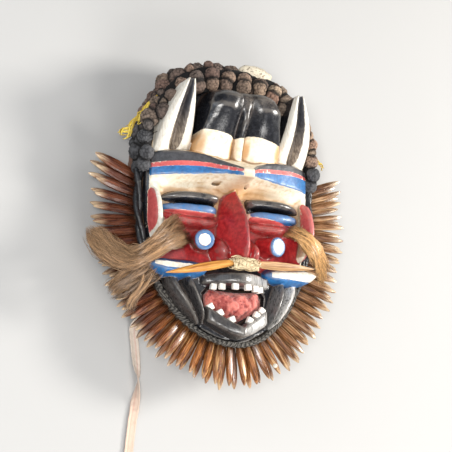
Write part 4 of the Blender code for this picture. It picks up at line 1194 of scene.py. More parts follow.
def paintedWood():
    material, tree, shader = startMaterial("paintedWood")
    place = objectPlace(tree)
    broad = noiseOn(tree, place, 45, 4)
    brush = noiseOn(tree, place, 260, 4, 0.6)
    streak = noiseOn(tree, stretched(tree, place, (1.0, 0.18, 1.0)), 620, 4, 0.6)
    brush = mixNumber(tree, attribute(tree, "streaks"), brush, streak)
    fine = noiseOn(tree, place, 1900, 3, 0.7)
    wobble = swinging(tree, noiseOn(tree, place, 260, 4), 1.5)
    hollow = attribute(tree, "hollow")
    colour = toned(tree, brush, (0.28, 0.62), cream["dark"], cream["light"])
    colour = toned(tree, broad, (0.35, 0.6, 0.6), colour, cream["light"])
    # painted shade: the cream turns ochre in the hollows, as shade in the crevices
    shaded = plus(tree, hollow, swinging(tree, broad, 0.5))
    colour = toned(tree, shaded, (0.20, 1.0, 0.7), colour, cream["ochre"])
    # painted shade: ochre spots in the forehead grooves, at the horns' feet and under the brow
    ochreShade = plus(tree, attribute(tree, "ochreShade"), swinging(tree, brush, 0.8))
    colour = toned(tree, ochreShade, (0.15, 0.95, 0.85), colour, cream["ochre"])
    rough = cream["roughness"]
    for name, (dark, light, gloss) in paints.items():
        border = plus(tree, attribute(tree, name), wobble)
        inside = maskOf(tree, border, -0.12, 0.14)
        tint = toned(tree, brush, (0.25, 0.75), dark, light)
        if name == "charcoal":
            lowEnd = toned(tree, streak, (0.35, 0.65), (0.12, 0.092, 0.070), (0.38, 0.31, 0.24))
            tint = mixColour(tree, attribute(tree, "worn"), tint, lowEnd)
        colour = mixColour(tree, inside, colour, tint)
        rough = mixNumber(tree, inside, rough, gloss)
    # painted sheen over grey paint streaks on the jowls and lips, dark on the left and light on the right
    # where the lamp is reflected
    sheenAndGreyStreaks = times(tree, attribute(tree, "sheenAndGreyStreaks"), maskOf(tree, streak, 0.28, 0.56))
    sheenOverGrey = mixColour(tree, attribute(tree, "toRight"), (0.13, 0.11, 0.092), (0.60, 0.585, 0.56))
    colour = mixColour(tree, times(tree, sheenAndGreyStreaks, 0.85), colour, sheenOverGrey)
    # rough flecks below the eyes, darker brown deep in the hollows, rubbed crests, dust on the forehead
    grains = maskOf(tree, noiseOn(tree, place, 900, 3, 0.7), 0.50, 0.60)
    flecks = times(tree, attribute(tree, "flecks"), grains)
    colour = mixColour(tree, times(tree, flecks, 0.7), colour, (0.60, 0.12, 0.09))
    rough = mixNumber(tree, flecks, rough, 0.8)
    deepHollowDark = maskOf(tree, plus(tree, hollow, times(tree, brush, 0.4)), 0.65, 1.5, 0.5)
    colour = mixColour(tree, deepHollowDark, colour, (0.06, 0.035, 0.022))
    crest = sums(tree, "SUBTRACT", times(tree, hollow, -1.0), times(tree, brush, 0.9))
    rubbed = maskOf(tree, crest, 0.25, 0.6, 0.22)
    colour = mixColour(tree, rubbed, colour, (0.34, 0.30, 0.26))
    specks = times(tree, attribute(tree, "dust"), maskOf(tree, fine, 0.46, 0.62))
    colour = mixColour(tree, times(tree, specks, 0.6), colour, (0.30, 0.23, 0.17))
    rough = mixNumber(tree, specks, rough, 0.7)
    rough = plus(tree, rough, maskOf(tree, fine, 0.45, 0.8, 0.14))
    bump = bumpOf(tree, brush, 0.00016)
    bump = bumpOf(tree, fine, 0.00005, under=bump)
    bump = bumpOf(tree, flecks, 0.0003, under=bump)
    setSockets(tree, shader, {
        "Base Color": colour, "Roughness": rough, "Normal": bump, "Coat Normal": bump,
        "Coat Weight": 0.22, "Coat Roughness": 0.2,
    })
    return material


face, faceTrees = carveFace()
pushOut(face, toolMarks)
lightenTheBack(face)
paintFace(face, faceTrees)
finishPiece(face, "painted_wood", paintedWood(), "carved_face", angle=70)

# Band round the jaw, and the ruff of carved spikes lashed behind it
ruff = {
    "start": 0.006,
    "fan": 20,              # degrees by which the end spikes lean to the crown
    "fanReach": 0.060,
    "bundles": 12,
    "perRow": 4,
    "length": 0.053,
    "radius": 0.0041,
    "lashingHeight": 0.011,
    "lashingThickness": 0.0045,
    "rows": ((0.38, 0.12, 0.72), (0.86, 0.04, 0.28)),   # how low in the lashing, rise, place along
    "flatness": 0.88,       # how flat a spike is
    "pod": (    # share of the length, share of the radius
        (0, 0.60), (0.10, 0.82), (0.25, 0.97), (0.50, 1.02), (0.70, 0.92), (0.85, 0.72), (0.94, 0.46),
        (1.0, 0.16),
    ),
    "podBend": 0.0012,
    "lashingTurns": 15,
    "threadRadius": 0.0011,
    "bandLevel": 0.045,
    "chinRise": 0.017,
    "bandRadius": 0.0050,
    "chinBandRadius": 0.0029,
    "bandSteps": 620,
    "bandSides": 14,
    "twist": (0.075, 0.064),    # metres to a turn beside the cheeks, and how much less at the chin
    "wrinkles": ((0.006, 3, 0.00045), (0.0018, 4, 0.00018)),
    "seed": 7,
}


def chinward(y):
    return min(1.0, max(0.0, (y / wood["chin"] - 0.35) / 0.65))


def bandLevel(y):
    return ruff["bandLevel"] + ruff["chinRise"] * chinward(y) ** 3


def bandRadius(y):
    return ruff["bandRadius"] + (ruff["chinBandRadius"] - ruff["bandRadius"]) * chinward(y)


def ruffLevel(y):
    return bandLevel(y) - bandRadius(y) - wood["clearance"]


def jawAngles(count):
    end = angleAtHeight(ruff["start"])
    return evenAngles(math.pi - end, 2 * math.pi + end, count)


def anyWay(pick):
    return Vector([pick.uniform(-1, 1) for _ in range(3)])


def spikeRoute(root, heading, length, pick):
    # A pod with a slight bend, thickest at its middle and blunt at the tip
    bend = anyWay(pick) * ruff["podBend"]
    points = [root + heading * length * share + bend * math.sin(math.pi * share) for share, _ in ruff["pod"]]
    return points, [ruff["radius"] * size * pick.uniform(0.96, 1.04) for _, size in ruff["pod"]]


def knifeCut(turn, share, tone):
    # Long cuts down a spike, and no two spikes alike
    cuts = 0.08 * math.cos(2 * turn + 40 * tone) + 0.05 * math.cos(3 * turn + 23 * tone)
    return 1 + cuts * (1 - 0.5 * share) + 0.02 * math.sin(6 * share + 60 * tone + turn)


def lashingRoute(angles):
    # Thread wound round the strip that holds the roots
    route = []
    turns, thick, tall = ruff["lashingTurns"], ruff["lashingThickness"], ruff["lashingHeight"]
    for step in range(turns * 10 + 1):
        share = step / (turns * 10)
        angle = angles[0] + (angles[-1] - angles[0]) * (0.015 + 0.97 * share)
        turn = 2 * math.pi * turns * share
        middle = beside(angle, wood["edgeGap"] + thick / 2)
        c, s = signedPower(math.cos(turn), 0.5), signedPower(math.sin(turn), 0.5)
        place = middle + edgeNormal(angle) * c * (thick / 2 - 0.0007)
        place.z = ruffLevel(middle.y - bridge.y) - tall / 2 + s * (tall / 2 - 0.0009)
        route.append(place)
    return route


def lashingStrip(angles, sunk=0.0008):
    # The strip lies a little inside its own thread
    rings = []
    for step in range(5):
        angle = angles[0] + (angles[-1] - angles[0]) * (0.01 + 0.98 * step / 4)
        inner = beside(angle, wood["edgeGap"] + sunk)
        outer = inner + edgeNormal(angle) * (ruff["lashingThickness"] - 2 * sunk)
        top = ruffLevel(inner.y - bridge.y) - sunk
        low = top - ruff["lashingHeight"] + 2 * sunk
        corners = ((inner, low), (outer, low), (outer, top), (inner, top))
        rings.append([atLevel(p, z) for p, z in corners])
    return loft("strip", rings)


def spikeWood():
    # Orange spikes at the chin, reddish ones at the left and greyer ones at the right
    material, tree, shader = startMaterial("stainedSpikes")
    tone = attribute(tree, "tone")
    place = shiftedBy(tree, alongGrain(tree, 0.07), tone, (0, 2))
    grain = noiseOn(tree, place, 900, 5, 0.65)
    streak = noiseOn(tree, place, 330, 3, 0.6)
    sideways = axisOf(tree, objectPlace(tree), 0)
    orange = toned(tree, grain, (0.35, 0.66), (0.065, 0.017, 0.006), (0.40, 0.140, 0.028))
    # lighter streaks along the grain: partly the wood's grain, partly painted highlights on lit facets
    orange = toned(tree, streak, (0.52, 0.68, 0.85), orange, (0.74, 0.44, 0.18))
    reddish = toned(tree, grain, (0.35, 0.66), (0.050, 0.013, 0.008), (0.20, 0.060, 0.024))
    greyish = toned(tree, grain, (0.35, 0.66), (0.060, 0.024, 0.010), (0.30, 0.150, 0.062))
    greyish = toned(tree, streak, (0.50, 0.70, 0.8), greyish, (0.56, 0.38, 0.22))
    colour = toned(tree, sideways, (-0.03, -0.10), orange, reddish)
    colour = toned(tree, sideways, (0.00, 0.10, 0.85), colour, greyish)
    dark = mixColour(tree, 0.5, colour, (0.05, 0.015, 0.010))
    colour = toned(tree, tone, (0.55, 1.0), colour, dark)
    along = axisOf(tree, attribute(tree, "grain", vector=True), 2)
    colour = toned(tree, along, (0.020, 0.0, 0.75), colour, (0.02, 0.009, 0.006))
    tip = times(tree, maskOf(tree, along, 0.034, 0.050, 0.75), maskOf(tree, streak, 0.30, 0.55))
    setSockets(tree, shader, {
        "Base Color": mixColour(tree, tip, colour, (0.66, 0.50, 0.32)),
        "Roughness": plus(tree, 0.18, maskOf(tree, grain, 0.3, 0.8, 0.22)),
        "Coat Weight": 0.35, "Coat Roughness": 0.15, "Normal": bumpOf(tree, grain, 0.0003),
    })
    return material


def spikeStrand(share, row, own, pick, shape):
    lower, rise, _ = row
    angle = float(np.interp(share, [n / ruff["perRow"] for n in range(len(own))], own))
    root = beside(angle, wood["edgeGap"] + 0.3 * ruff["lashingThickness"])
    y = root.y - bridge.y
    root.z = ruffLevel(y) - lower * ruff["lashingHeight"]
    normal = edgeNormal(angle + pick.uniform(-0.02, 0.02))
    lean = math.radians(ruff["fan"]) * (1 - smoothStep(0, ruff["fanReach"], ruff["start"] - y))
    turned = (normal * math.cos(lean) + Vector((0, 1, 0)) * math.sin(lean)).normalized()
    heading = (turned + Vector((0, 0, rise + pick.uniform(-0.015, 0.015)))).normalized()
    length = ruff["length"] * (1 - 0.13 * chinward(y)) * pick.uniform(0.92, 1.03)
    points, halves = spikeRoute(root, heading, length, shape)
    return points, halves, shape.random(), ruff["flatness"]


def buildRuff():
    pick, shape = random.Random(ruff["seed"]), random.Random(31)
    perRow = ruff["perRow"]
    angles = jawAngles(ruff["bundles"] * perRow + 1)
    material = spikeWood()
    thread = plainFibre("lashingThread", (0.03, 0.022, 0.016), (0.10, 0.07, 0.045), 0.8)
    for number in range(ruff["bundles"]):
        own = angles[number * perRow:(number + 1) * perRow + 1]
        strands = [
            spikeStrand((n + row[2]) / perRow, row, own, pick, shape)
            for row in ruff["rows"] for n in range(perRow)
        ]
        spikes = sweepMany("spikes", strands, 7, knifeCut)
        lashing = sweepMany("lashing", [(lashingRoute(own), ruff["threadRadius"], shape.random(), 1)], 5)
        strip = lashingStrip(own)
        for thing in (lashing, strip):
            thing.data.materials.append(thread)
        spikes.data.materials.append(material)
        bundle = joined("ruff_spikes_%02d" % (number + 1), [spikes, lashing, strip])
        finishPiece(bundle, "brown_spikes", None, "spike_bundle_%02d" % (number + 1), angle=38)


def bandRoutes():
    # Two strands, rolled loosely beside the cheeks and twisted hard into a cord at the chin
    phase, last = 0.0, None
    routes, halves, chins = ([], []), [], []
    ends = jawAngles(2)
    for angle in evenAngles(*ends, ruff["bandSteps"]):
        y = beside(angle, 0).y - bridge.y
        radius = bandRadius(y)
        chin = smoothStep(0.30, 0.55, chinward(y))
        centre = atLevel(beside(angle, wood["edgeGap"] + radius), bandLevel(y))
        if last is not None:
            loose, harder = ruff["twist"]
            phase += 2 * math.pi * (centre - last).length / (loose - harder * chin)
        last = centre
        for n, route in enumerate(routes):
            turn = phase + math.pi * n
            offset = edgeNormal(angle) * math.cos(turn) + outward * math.sin(turn)
            route.append(centre + offset * radius * 0.42)
        halves.append(radius * 0.60)
        chins.append(chin)
    return routes, halves, chins


def blackenedBand():
    material, tree, shader = startMaterial("blackenedBand")
    fibre = noiseOn(tree, alongGrain(tree, 0.3), 1500, 4, 0.7)
    weave = addNode(tree, "ShaderNodeTexWave", {
        "Vector": attribute(tree, "grain", vector=True), "Scale": 190, "Distortion": 1.5, "Detail Scale": 3.0,
    }, bands_direction="DIAGONAL").outputs["Fac"]
    fibre = plus(tree, times(tree, fibre, 0.6), times(tree, weave, 0.4))
    worn = noiseOn(tree, objectPlace(tree), 160, 4)
    black = toned(tree, worn, (0.45, 0.8), (0.008, 0.008, 0.009), (0.045, 0.045, 0.050))
    grey = toned(tree, fibre, (0.35, 0.65), (0.018, 0.016, 0.015), (0.13, 0.12, 0.105))
    chin = attribute(tree, "chin")
    setSockets(tree, shader, {
        "Base Color": mixColour(tree, chin, black, grey), "Roughness": mixNumber(tree, chin, 0.30, 0.85),
        "Normal": bumpOf(tree, fibre, 0.0003),
    })
    return material


def buildBand():
    routes, halves, chins = bandRoutes()
    sides = ruff["bandSides"]
    band = sweepMany("rolled_band", [(route, halves, n * 0.5, 1) for n, route in enumerate(routes)], sides)
    storeNumber(band, "chin", np.repeat(np.tile(chins, 2), sides))
    pushOut(band, lambda points, normals: relief(points, ruff["wrinkles"]))
    finishPiece(band, "black_cord", blackenedBand(), "jaw_band", angle=180)


def plainFibre(name, dark, light, roughness, scale=1400, squash=0.15):
    # Fibres seen along a strand: fine streaks, darker low between them
    material, tree, shader = startMaterial(name)
    tone = attribute(tree, "tone")
    place = shiftedBy(tree, alongGrain(tree, squash), tone, (0, 1))
    fibre = noiseOn(tree, place, scale, 4, 0.65)
    share = plus(tree, times(tree, tone, 0.5), times(tree, fibre, 0.6))
    setSockets(tree, shader, {
        "Base Color": toned(tree, share, (0.15, 0.9), dark, light), "Roughness": roughness,
        "Normal": bumpOf(tree, fibre, 0.0002),
    })
    return material


# Wig of knotted fibre round the crown
wig = {
    "start": 0.015,
    "capThickness": 0.008,
    "capLow": 0.034,
    "capHigh": 0.062,
    "crestStart": 0.070,
    "crestDepth": 0.018,
    "crestRise": 0.006,
    "knotRadius": 0.0086,
    "knotSpacing": 0.0185,
    # outside the wood's edge, height, size, where the row starts
    "rows": (
        (0.0105, 0.044, 1.0, 0.024), (0.0070, 0.060, 0.98, 0.034), (-0.0020, 0.069, 0.95, 0.064),
        (-0.0110, 0.070, 0.98, 0.094),
    ),
    "lumps": {3: 34, 4: 60, 5: 80},     # on a ball of each fineness
    # charcoal knots at the cap's two ends: turn from the end, outside the wood's edge, height
    "endKnots": ((-0.035, 0.0045, 0.041), (-0.03, 0.0045, 0.054), (0.03, 0.0050, 0.061)),
    "endKnotHalves": (0.0074, 0.0080, 0.0072),
    "capVoxel": 0.0016,
    "capRelief": ((0.004, 8, 0.0007), (0.0022, 9, 0.0004)),
    "seed": 3,
    "paleKnot": (28.8, 41.2, 63),
    "paleLength": 0.044,
    "paleRadius": 0.0083,
    "paleRoom": (0.024, 0.0135, 0.0125),    # half the room kept free for it
}


def crownAngles(start, count):
    angle = angleAtHeight(start)
    return evenAngles(angle, math.pi - angle, count)


def knotsBetween(start):
    fine = crownAngles(start, 60)
    length = sum((outline(b) - outline(a)).length for a, b in zip(fine, fine[1:]))
    return max(2, round(length / wig["knotSpacing"]))


def mattedBall(template, centre, halves, seed, count):
    # A ball of matted fibre: close round lumps with gaps between them, like a mulberry
    pick = np.random.default_rng(seed)
    order = np.arange(count) + 0.5
    lean, turn = np.arccos(1 - 2 * order / count), order * 2.39996
    lumps = np.column_stack((np.cos(turn) * np.sin(lean), np.sin(turn) * np.sin(lean), np.cos(lean)))
    lumps += pick.normal(0, 0.6 / math.sqrt(count), lumps.shape)
    lumps /= np.linalg.norm(lumps, axis=1)[:, None]
    swing = Matrix.Rotation(pick.uniform(0, 6.28), 3, Vector(pick.normal(size=3)).normalized())
    apart = 2 - 2 * template @ np.array(swing) @ lumps.T
    nearest = np.sqrt(np.maximum(np.sort(apart, axis=1)[:, :2], 0))
    size = 3.5 / math.sqrt(count)
    dome = np.clip(1 - (nearest[:, 0] / size) ** 2, 0, 1)
    gap = smoothStep(0, 0.35 * size, nearest[:, 1] - nearest[:, 0])
    swell = pick.uniform(-1, 1, count)[apart.argmin(1)]
    height = 0.075 * gap + 0.05 * dome + 0.035 * swell * gap
    height += 0.055 * field(template, 0.45, seed) + 0.025 * field(template, 0.14, seed + 1)
    points = np.array(centre) + template * (0.90 + height)[:, None] * np.array(halves)
    return points, height


def ballTemplate(level):
    bpy.ops.object.select_all(action="DESELECT")
    bpy.ops.mesh.primitive_ico_sphere_add(subdivisions=level, radius=1)
    ball = bpy.context.object
    points = coordinates(ball)
    faces = np.array([list(face.vertices) for face in ball.data.polygons])
    bpy.data.objects.remove(ball)
    return points, faces


def rowKnots():
    # Every big knot: its row, its angle round the crown, its centre and its half sizes
    pick = random.Random(wig["seed"])
    knots = []
    for row, (offset, level, size, start) in enumerate(wig["rows"]):
        for angle in crownAngles(start, knotsBetween(start)):
            centre = beside(angle + pick.uniform(-0.02, 0.02), offset + pick.uniform(-0.0016, 0.0016))
            centre.z = level + pick.uniform(-0.0025, 0.002)
            radius = size * wig["knotRadius"] * pick.uniform(0.84, 1.08)
            halves = [radius * pick.uniform(0.86, 1.12) for _ in range(3)]
            knots.append((row, angle, centre, halves))
    return knots


def fillerKnots(knots, fill):
    # Smaller knots between the big ones: two to a gap in the outer rows, now and then one further in
    small = []
    for (row, a, p, _), (nextRow, b, q, _) in zip(knots, knots[1:]):
        if row != nextRow:
            continue
        for level in (-1, 1):
            chance = fill.random()
            if row >= 2 and (level < 0 or chance < 0.45):
                continue
            middle = p.lerp(q, 0.5) + edgeNormal((a + b) / 2) * fill.uniform(-0.002, 0.004)
            middle.z += -0.004 if row >= 2 else level * fill.uniform(0.004, 0.007)
            radius = wig["knotRadius"] * fill.uniform(0.50, 0.68)
            small.append((middle, [radius * fill.uniform(0.9, 1.15) for _ in range(3)], 3))
    return small


def endKnots():
    ends = crownAngles(wig["start"], 12)
    return [
        (atLevel(beside(end + turn * way, offset), level), wig["endKnotHalves"], 4)
        for end, way in ((ends[0], 1), (ends[-1], -1)) for turn, offset, level in wig["endKnots"]
    ]


def allKnots(fill):
    # Every ball's centre, half sizes and fineness, but none where the pale knot lies
    knots = rowKnots()
    balls = [(centre, halves, 5 if row == 1 else 4) for row, _, centre, halves in knots]
    balls += fillerKnots(knots, fill) + endKnots()
    room, pale = np.array(wig["paleRoom"]), np.array(spot(*wig["paleKnot"]))
    return [ball for ball in balls if (((np.array(ball[0]) - pale) / room) ** 2).sum() >= 1]


def matKnots():
    fill = random.Random(12)
    balls = allKnots(fill)
    centres = np.array([centre for centre, _, _ in balls])
    radii = np.array([sum(halves) / 3 for _, halves, _ in balls])
    templates = {level: ballTemplate(level) for level in wig["lumps"]}
    points, faces, count = [], [], 0
    numbers = {name: [] for name in ("pit", "gap", "tone", "reddish", "char")}
    for n, (centre, halves, level) in enumerate(balls):
        unit, sides = templates[level]
        placed, height = mattedBall(unit, centre, halves, n + 1, wig["lumps"][level])
        points.append(placed)
        faces.append(sides + count)
        count += len(placed)
        apart = np.linalg.norm(placed[:, None] - centres[None], axis=2) / radii - 1
        apart[:, n] = 9
        toRight = float(smoothStep(-0.02, 0.05, centre.x - bridge.x))
        values = {
            "pit": height,
            # gap: painted shade where a knot nears or meets its neighbours
            "gap": smoothStep(0.50, 0.06, apart.min(1)),
            "tone": fill.random() * 0.55 + 0.45 * toRight,
            "reddish": fill.random() ** 2 * (0.35 + 0.65 * toRight),
            "char": float(smoothStep(0.062, 0.040, centre.y - bridge.y + 0.02 * toRight)),
        }
        for name, value in values.items():
            numbers[name].append(np.broadcast_to(value, len(placed)))
    knots = newPiece("knots", np.concatenate(points).tolist(), np.concatenate(faces).tolist())
    for name, values in numbers.items():
        storeNumber(knots, name, np.concatenate(values))
    return knots


def wigCap():
    # The rough cap that the knots are tied to: a strip round the wood, and a crest in over its top
    low, high, thick = wig["capLow"], wig["capHigh"], wig["capThickness"]
    section = ((0, low), (1, low), (1.15, (low + high) / 2), (1, high), (0, high))
    strip = [
        [atLevel(beside(angle, wood["edgeGap"] + thick * share), z) for share, z in section]
        for angle in crownAngles(wig["start"], 40)
    ]
    foot, top = high - wig["crestRise"] / 2, high + wig["crestRise"]
    section = ((thick, foot), (thick, top), (-wig["crestDepth"], top), (-wig["crestDepth"], foot))
    crest = [
        [atLevel(beside(angle, offset), z) for offset, z in section]
        for angle in crownAngles(wig["crestStart"], 24)
    ]
    cap = remade(joined("cap", [loft("strip", strip), loft("crest", crest)]), wig["capVoxel"])
    rough = pushOut(cap, lambda points, normals: relief(points, wig["capRelief"]))
    storeNumber(cap, "pit", rough * 60 - 0.1)
    # the whole cap is painted near black, as shade under the knots
    for name, value in (("reddish", 0), ("tone", 0.2), ("char", 0.7), ("gap", 1)):
        storeNumber(cap, name, np.full(len(rough), value))
    return cap


def buildWig():
    whole = joined("knotted_wig_hair", [matKnots(), wigCap()])
    finishPiece(whole, "knotted_fibre", mattedFibre(), "knotted_wig", angle=180)


def mattedFibre():
    material, tree, shader = startMaterial("mattedFibre")
    place = objectPlace(tree)
    fine = noiseOn(tree, place, 1500, 5, 0.75, 1.5)
    broad = noiseOn(tree, place, 210, 4)
    tone = attribute(tree, "tone")
    # painted shade in the pits and painted light on the lumps, mixed with fibre noise
    height = plus(tree, times(tree, attribute(tree, "pit"), 5.0), times(tree, fine, 0.9))
    share = maskOf(tree, height, 0.30, 1.25)
    brown = mixColour(tree, share, (0.010, 0.007, 0.006), (0.155, 0.115, 0.095))
    tan = mixColour(tree, share, (0.028, 0.017, 0.012), (0.50, 0.37, 0.26))
    colour = toned(tree, tone, (0.25, 0.85), brown, tan)
    red = mixColour(tree, share, (0.030, 0.010, 0.008), (0.36, 0.165, 0.115))
    colour = mixColour(tree, times(tree, attribute(tree, "reddish"), 0.75), colour, red)
    colour = toned(tree, broad, (0.5, 0.75, 0.25), colour, (0.10, 0.06, 0.045))
    charcoal = mixColour(tree, share, (0.007, 0.007, 0.009), (0.095, 0.095, 0.100))
    colour = mixColour(tree, attribute(tree, "char"), colour, charcoal)
    # painted shade where knots meet and over the cap
    colour = mixColour(tree, times(tree, attribute(tree, "gap"), 0.93), colour, (0.004, 0.003, 0.003))
    setSockets(tree, shader, {"Base Color": colour, "Roughness": 0.9, "Normal": bumpOf(tree, fine, 0.0007)})
    return material


def paleFibre():
    material, tree, shader = startMaterial("paleFibre")
    fine = noiseOn(tree, objectPlace(tree), 1300, 4, 0.7)
    colour = toned(tree, fine, (0.3, 0.65), (0.50, 0.42, 0.30), (0.78, 0.71, 0.57))
    colour = toned(tree, attribute(tree, "pit"), (0.1, 0.9, 0.85), colour, (0.20, 0.15, 0.10))
    setSockets(tree, shader, {"Base Color": colour, "Roughness": 0.9, "Normal": bumpOf(tree, fine, 0.0004)})
    return material


def buildPaleKnot():
    # A long lump with deep pores
    template, faces = ballTemplate(5)
    along = Vector((0.99, -0.14, 0)).normalized()
    turned = np.array(Matrix((along, outward.cross(along), outward)))
    pores = field(template * (2.2, 1, 1), 0.16, 5)
    lumps = field(template * (2.2, 1, 1), 0.5, 6)
    height = 0.93 + 0.07 * lumps - 0.11 * np.maximum(pores - 0.25, 0)
    halves = np.array((wig["paleLength"] / 2, wig["paleRadius"], wig["paleRadius"]))
    points = np.array(spot(*wig["paleKnot"])) + (template * halves * height[:, None]) @ turned
    knot = newPiece("pale_fibre_knot", points.tolist(), faces.tolist())
    storeNumber(knot, "pit", np.maximum(pores - 0.2, 0) * 2.5)
    finishPiece(knot, "pale_fibre", paleFibre(), "pale_knot", angle=180)


# Yellow raffia that hangs from the wig
raffia = {
    "tassel": ((-83, 29, 62), (-101, 22.5, 55), (-113, 17, 48), (-124, 13, 42)),
    "tasselWidth": 0.010,
    "wisp": ((114, 13.4, 53), (120, 12.0, 52), (125, 10.6, 50)),
    "wispWidth": 0.004,
}


def looseStrands(route, width, count, thickness, seed, twist=1.0):
    # Flat fibres that cross each other along a route, some of them ending early
    pick = random.Random(seed)
    dense = smoothRows([tuple(p) for p in route], 5, byLength=True)
    strands = []
    for n in range(count):
        phase, reach = pick.uniform(0, 6.28), pick.uniform(0.3, 0.62)
        stop = len(dense) if n % 3 else max(5, int(len(dense) * pick.uniform(0.6, 0.95)))
        points = []
        for k in range(stop):
            share = k / (len(dense) - 1)
            ahead = Vector(dense[min(k + 1, len(dense) - 1)] - dense[max(k - 1, 0)]).normalized()
            aside = ahead.cross(outward).normalized()
            turn = phase + twist * (5.0 + n % 4) * share
            swing = width * reach * (0.55 + 0.6 * share)
            offset = aside * math.cos(turn) * swing + outward * math.sin(turn) * swing * 0.3
            offset += Vector([pick.uniform(-1, 1) * width * 0.03 for _ in range(3)])
            points.append(Vector(dense[k]) + offset)
        halves = [thickness * (0.9 if 0 < k < stop - 1 else 0.35) for k in range(stop)]
        strands.append((points, halves, pick.random(), 0.45))
    return strands


def buildRaffia():
    yellow = plainFibre("yellowRaffia", (0.36, 0.22, 0.015), (0.86, 0.66, 0.10), 0.45, 1600, 0.08)
    for name, key, count, seed in (("raffia_tassel", "tassel", 15, 4), ("raffia_wisp", "wisp", 4, 6)):
        route = [spot(*place) for place in raffia[key]]
        strands = looseStrands(route, raffia[key + "Width"], count, 0.00095, seed, 1.6)
        thing = sweepMany("yellow_" + name, strands, 6)
        finishPiece(thing, "yellow_raffia", yellow, name, angle=50)


# Fur tufts that hang from below the eyes over the cheeks and the ruff
fur = {
    "left": {
        "hairs": 1700, "locks": 74, "seed": 5,
        "route": (
            ((-57, -17.3, 61), 0.014), ((-74, -20.3, 72), 0.019), ((-90, -23.6, 79), 0.019),
            ((-104, -27.2, 81), 0.018), ((-118, -30.4, 79), 0.016), ((-129, -31.3, 72), 0.018),
            ((-142, -29.7, 66), 0.022), ((-154, -26.4, 62), 0.022), ((-163, -22.9, 60), 0.014),
            ((-169, -20.8, 60), 0.005),
        ),
    },
    "leftDown": {
        "hairs": 200, "locks": 14, "seed": 15,
        "route": (
            ((-102, -33, 76), 0.010), ((-111, -40.0, 68), 0.012), ((-119, -44.5, 63), 0.009),
            ((-125, -48.2, 60), 0.003),
        ),
    },
    "leftOut": {
        "hairs": 560, "locks": 30, "seed": 16,
        "route": (
            ((-104, -32.5, 78), 0.012), ((-114, -35.3, 71), 0.018), ((-126, -37.8, 66), 0.021),
            ((-137, -40.5, 62), 0.016), ((-146, -43.4, 60), 0.005),
        ),
    },
    "right": {
        "hairs": 1050, "locks": 42, "seed": 8,
        "route": (
            ((66, -14.6, 60), 0.006), ((73, -16.6, 73), 0.009), ((81, -19.2, 78), 0.012),
            ((92, -22.6, 77), 0.0135), ((102, -25.9, 71), 0.012), ((109, -29.3, 65), 0.010),
            ((111.5, -33.4, 61), 0.005),
        ),
    },
    "thickness": 0.011,
    "lockHalf": 0.00065,
    "hair": 0.00027,
    "hairTaper": (0.3, 0.8, 1, 1, 1, 1, 0.95, 0.8, 0.55, 0.15),
    "strays": 0.14,
    "swing": (0.0022, 0.010),   # of a hair in its lock, and of a stray
    "lift": (0.0012, 0.005),
}


def furStrands(tuft):
    # Silky locks that cross a little, each hair with its own start, end, wave and shade
    pick = random.Random(tuft["seed"])
    dense = smoothRows([(*spot(*place), width) for place, width in tuft["route"]], 6, byLength=True)
    last = len(dense) - 1
    length = sum(float(np.linalg.norm(b[:3] - a[:3])) for a, b in zip(dense, dense[1:]))
    locks = []
    for n in range(tuft["locks"]):
        aside, up, end = pick.uniform(-1, 1), pick.uniform(-1, 1), pick.uniform(0.80, 1.0)
        locks.append((aside, up, end, pick.random(), pick.uniform(0, 6.28), pick.uniform(0.0008, 0.0030)))
    strands = []
    for n in range(tuft["hairs"]):
        lockAside, lockUp, lockEnd, lockTone, phase, bend = locks[n % len(locks)]
        wild = pick.random() < fur["strays"]
        looseAside, looseUp = pick.gauss(0, 1), pick.gauss(0, 1)
        start = pick.uniform(0, 0.26)
        end = min(1.0, lockEnd + pick.uniform(-0.22, 0.03))
        swing = pick.uniform(-1, 1) * fur["swing"][wild]
        lift = pick.uniform(0.2, 1) * fur["lift"][wild]
        ownPhase, ownWave = pick.uniform(0, 6.28), pick.uniform(0.0001, 0.0006)
        points = []
        for k in range(10):
            share = start + (end - start) * k / 9
            low = min(int(share * last), last - 1)
            row = dense[low] + (dense[low + 1] - dense[low]) * (share * last - low)
            ahead = Vector(dense[min(low + 2, last)][:3] - dense[max(low - 1, 0)][:3]).normalized()
            aside = ahead.cross(outward).normalized()
            loose = fur["lockHalf"] * (1 - 0.75 * (k / 9) ** 1.8)
            spread = 1 + 1.1 * max(0, 1 - share / 0.25)
            toSide = spread * (lockAside * row[3] / 2 + looseAside * loose) + swing * share ** 2
            toSide += bend * math.sin(phase + 150 * length * share)
            toSide += ownWave * math.sin(ownPhase + 420 * length * share)
            rise = lockUp * fur["thickness"] / 2 * (0.3 + 0.7 * math.sin(math.pi * min(1, share + 0.12)))
            rise += looseUp * 0.55 * loose + lift * share ** 2
            points.append(Vector(row[:3]) + aside * toSide + outward * rise)
        # hairs lying lower in the tuft are darker: painted shade
        tone = 0.60 * lockTone + 0.36 * pick.random() + 0.26 * min(max(lockUp + 0.4 * looseUp, -1), 1) - 0.04
        halves = [fur["hair"] * size for size in fur["hairTaper"]]
        strands.append((points, halves, min(max(tone, 0), 1) ** 1.4, 1))
    return strands


def buildFur():
    leftHair = plainFibre("tanFur", (0.010, 0.004, 0.003), (0.56, 0.34, 0.18), 0.30, 900, 0.05)
    rightHair = plainFibre("blondFur", (0.05, 0.016, 0.006), (0.90, 0.53, 0.22), 0.30, 900, 0.05)
    tufts = (("left", ("left", "leftDown", "leftOut"), leftHair), ("right", ("right",), rightHair))
    for side, names, hair in tufts:
        strands = [strand for name in names for strand in furStrands(fur[name])]
        tuft = sweepMany("fur_locks_" + side, strands, 3)
        finishPiece(tuft, "tan_fur", hair, "fur_tuft_" + side, angle=180)


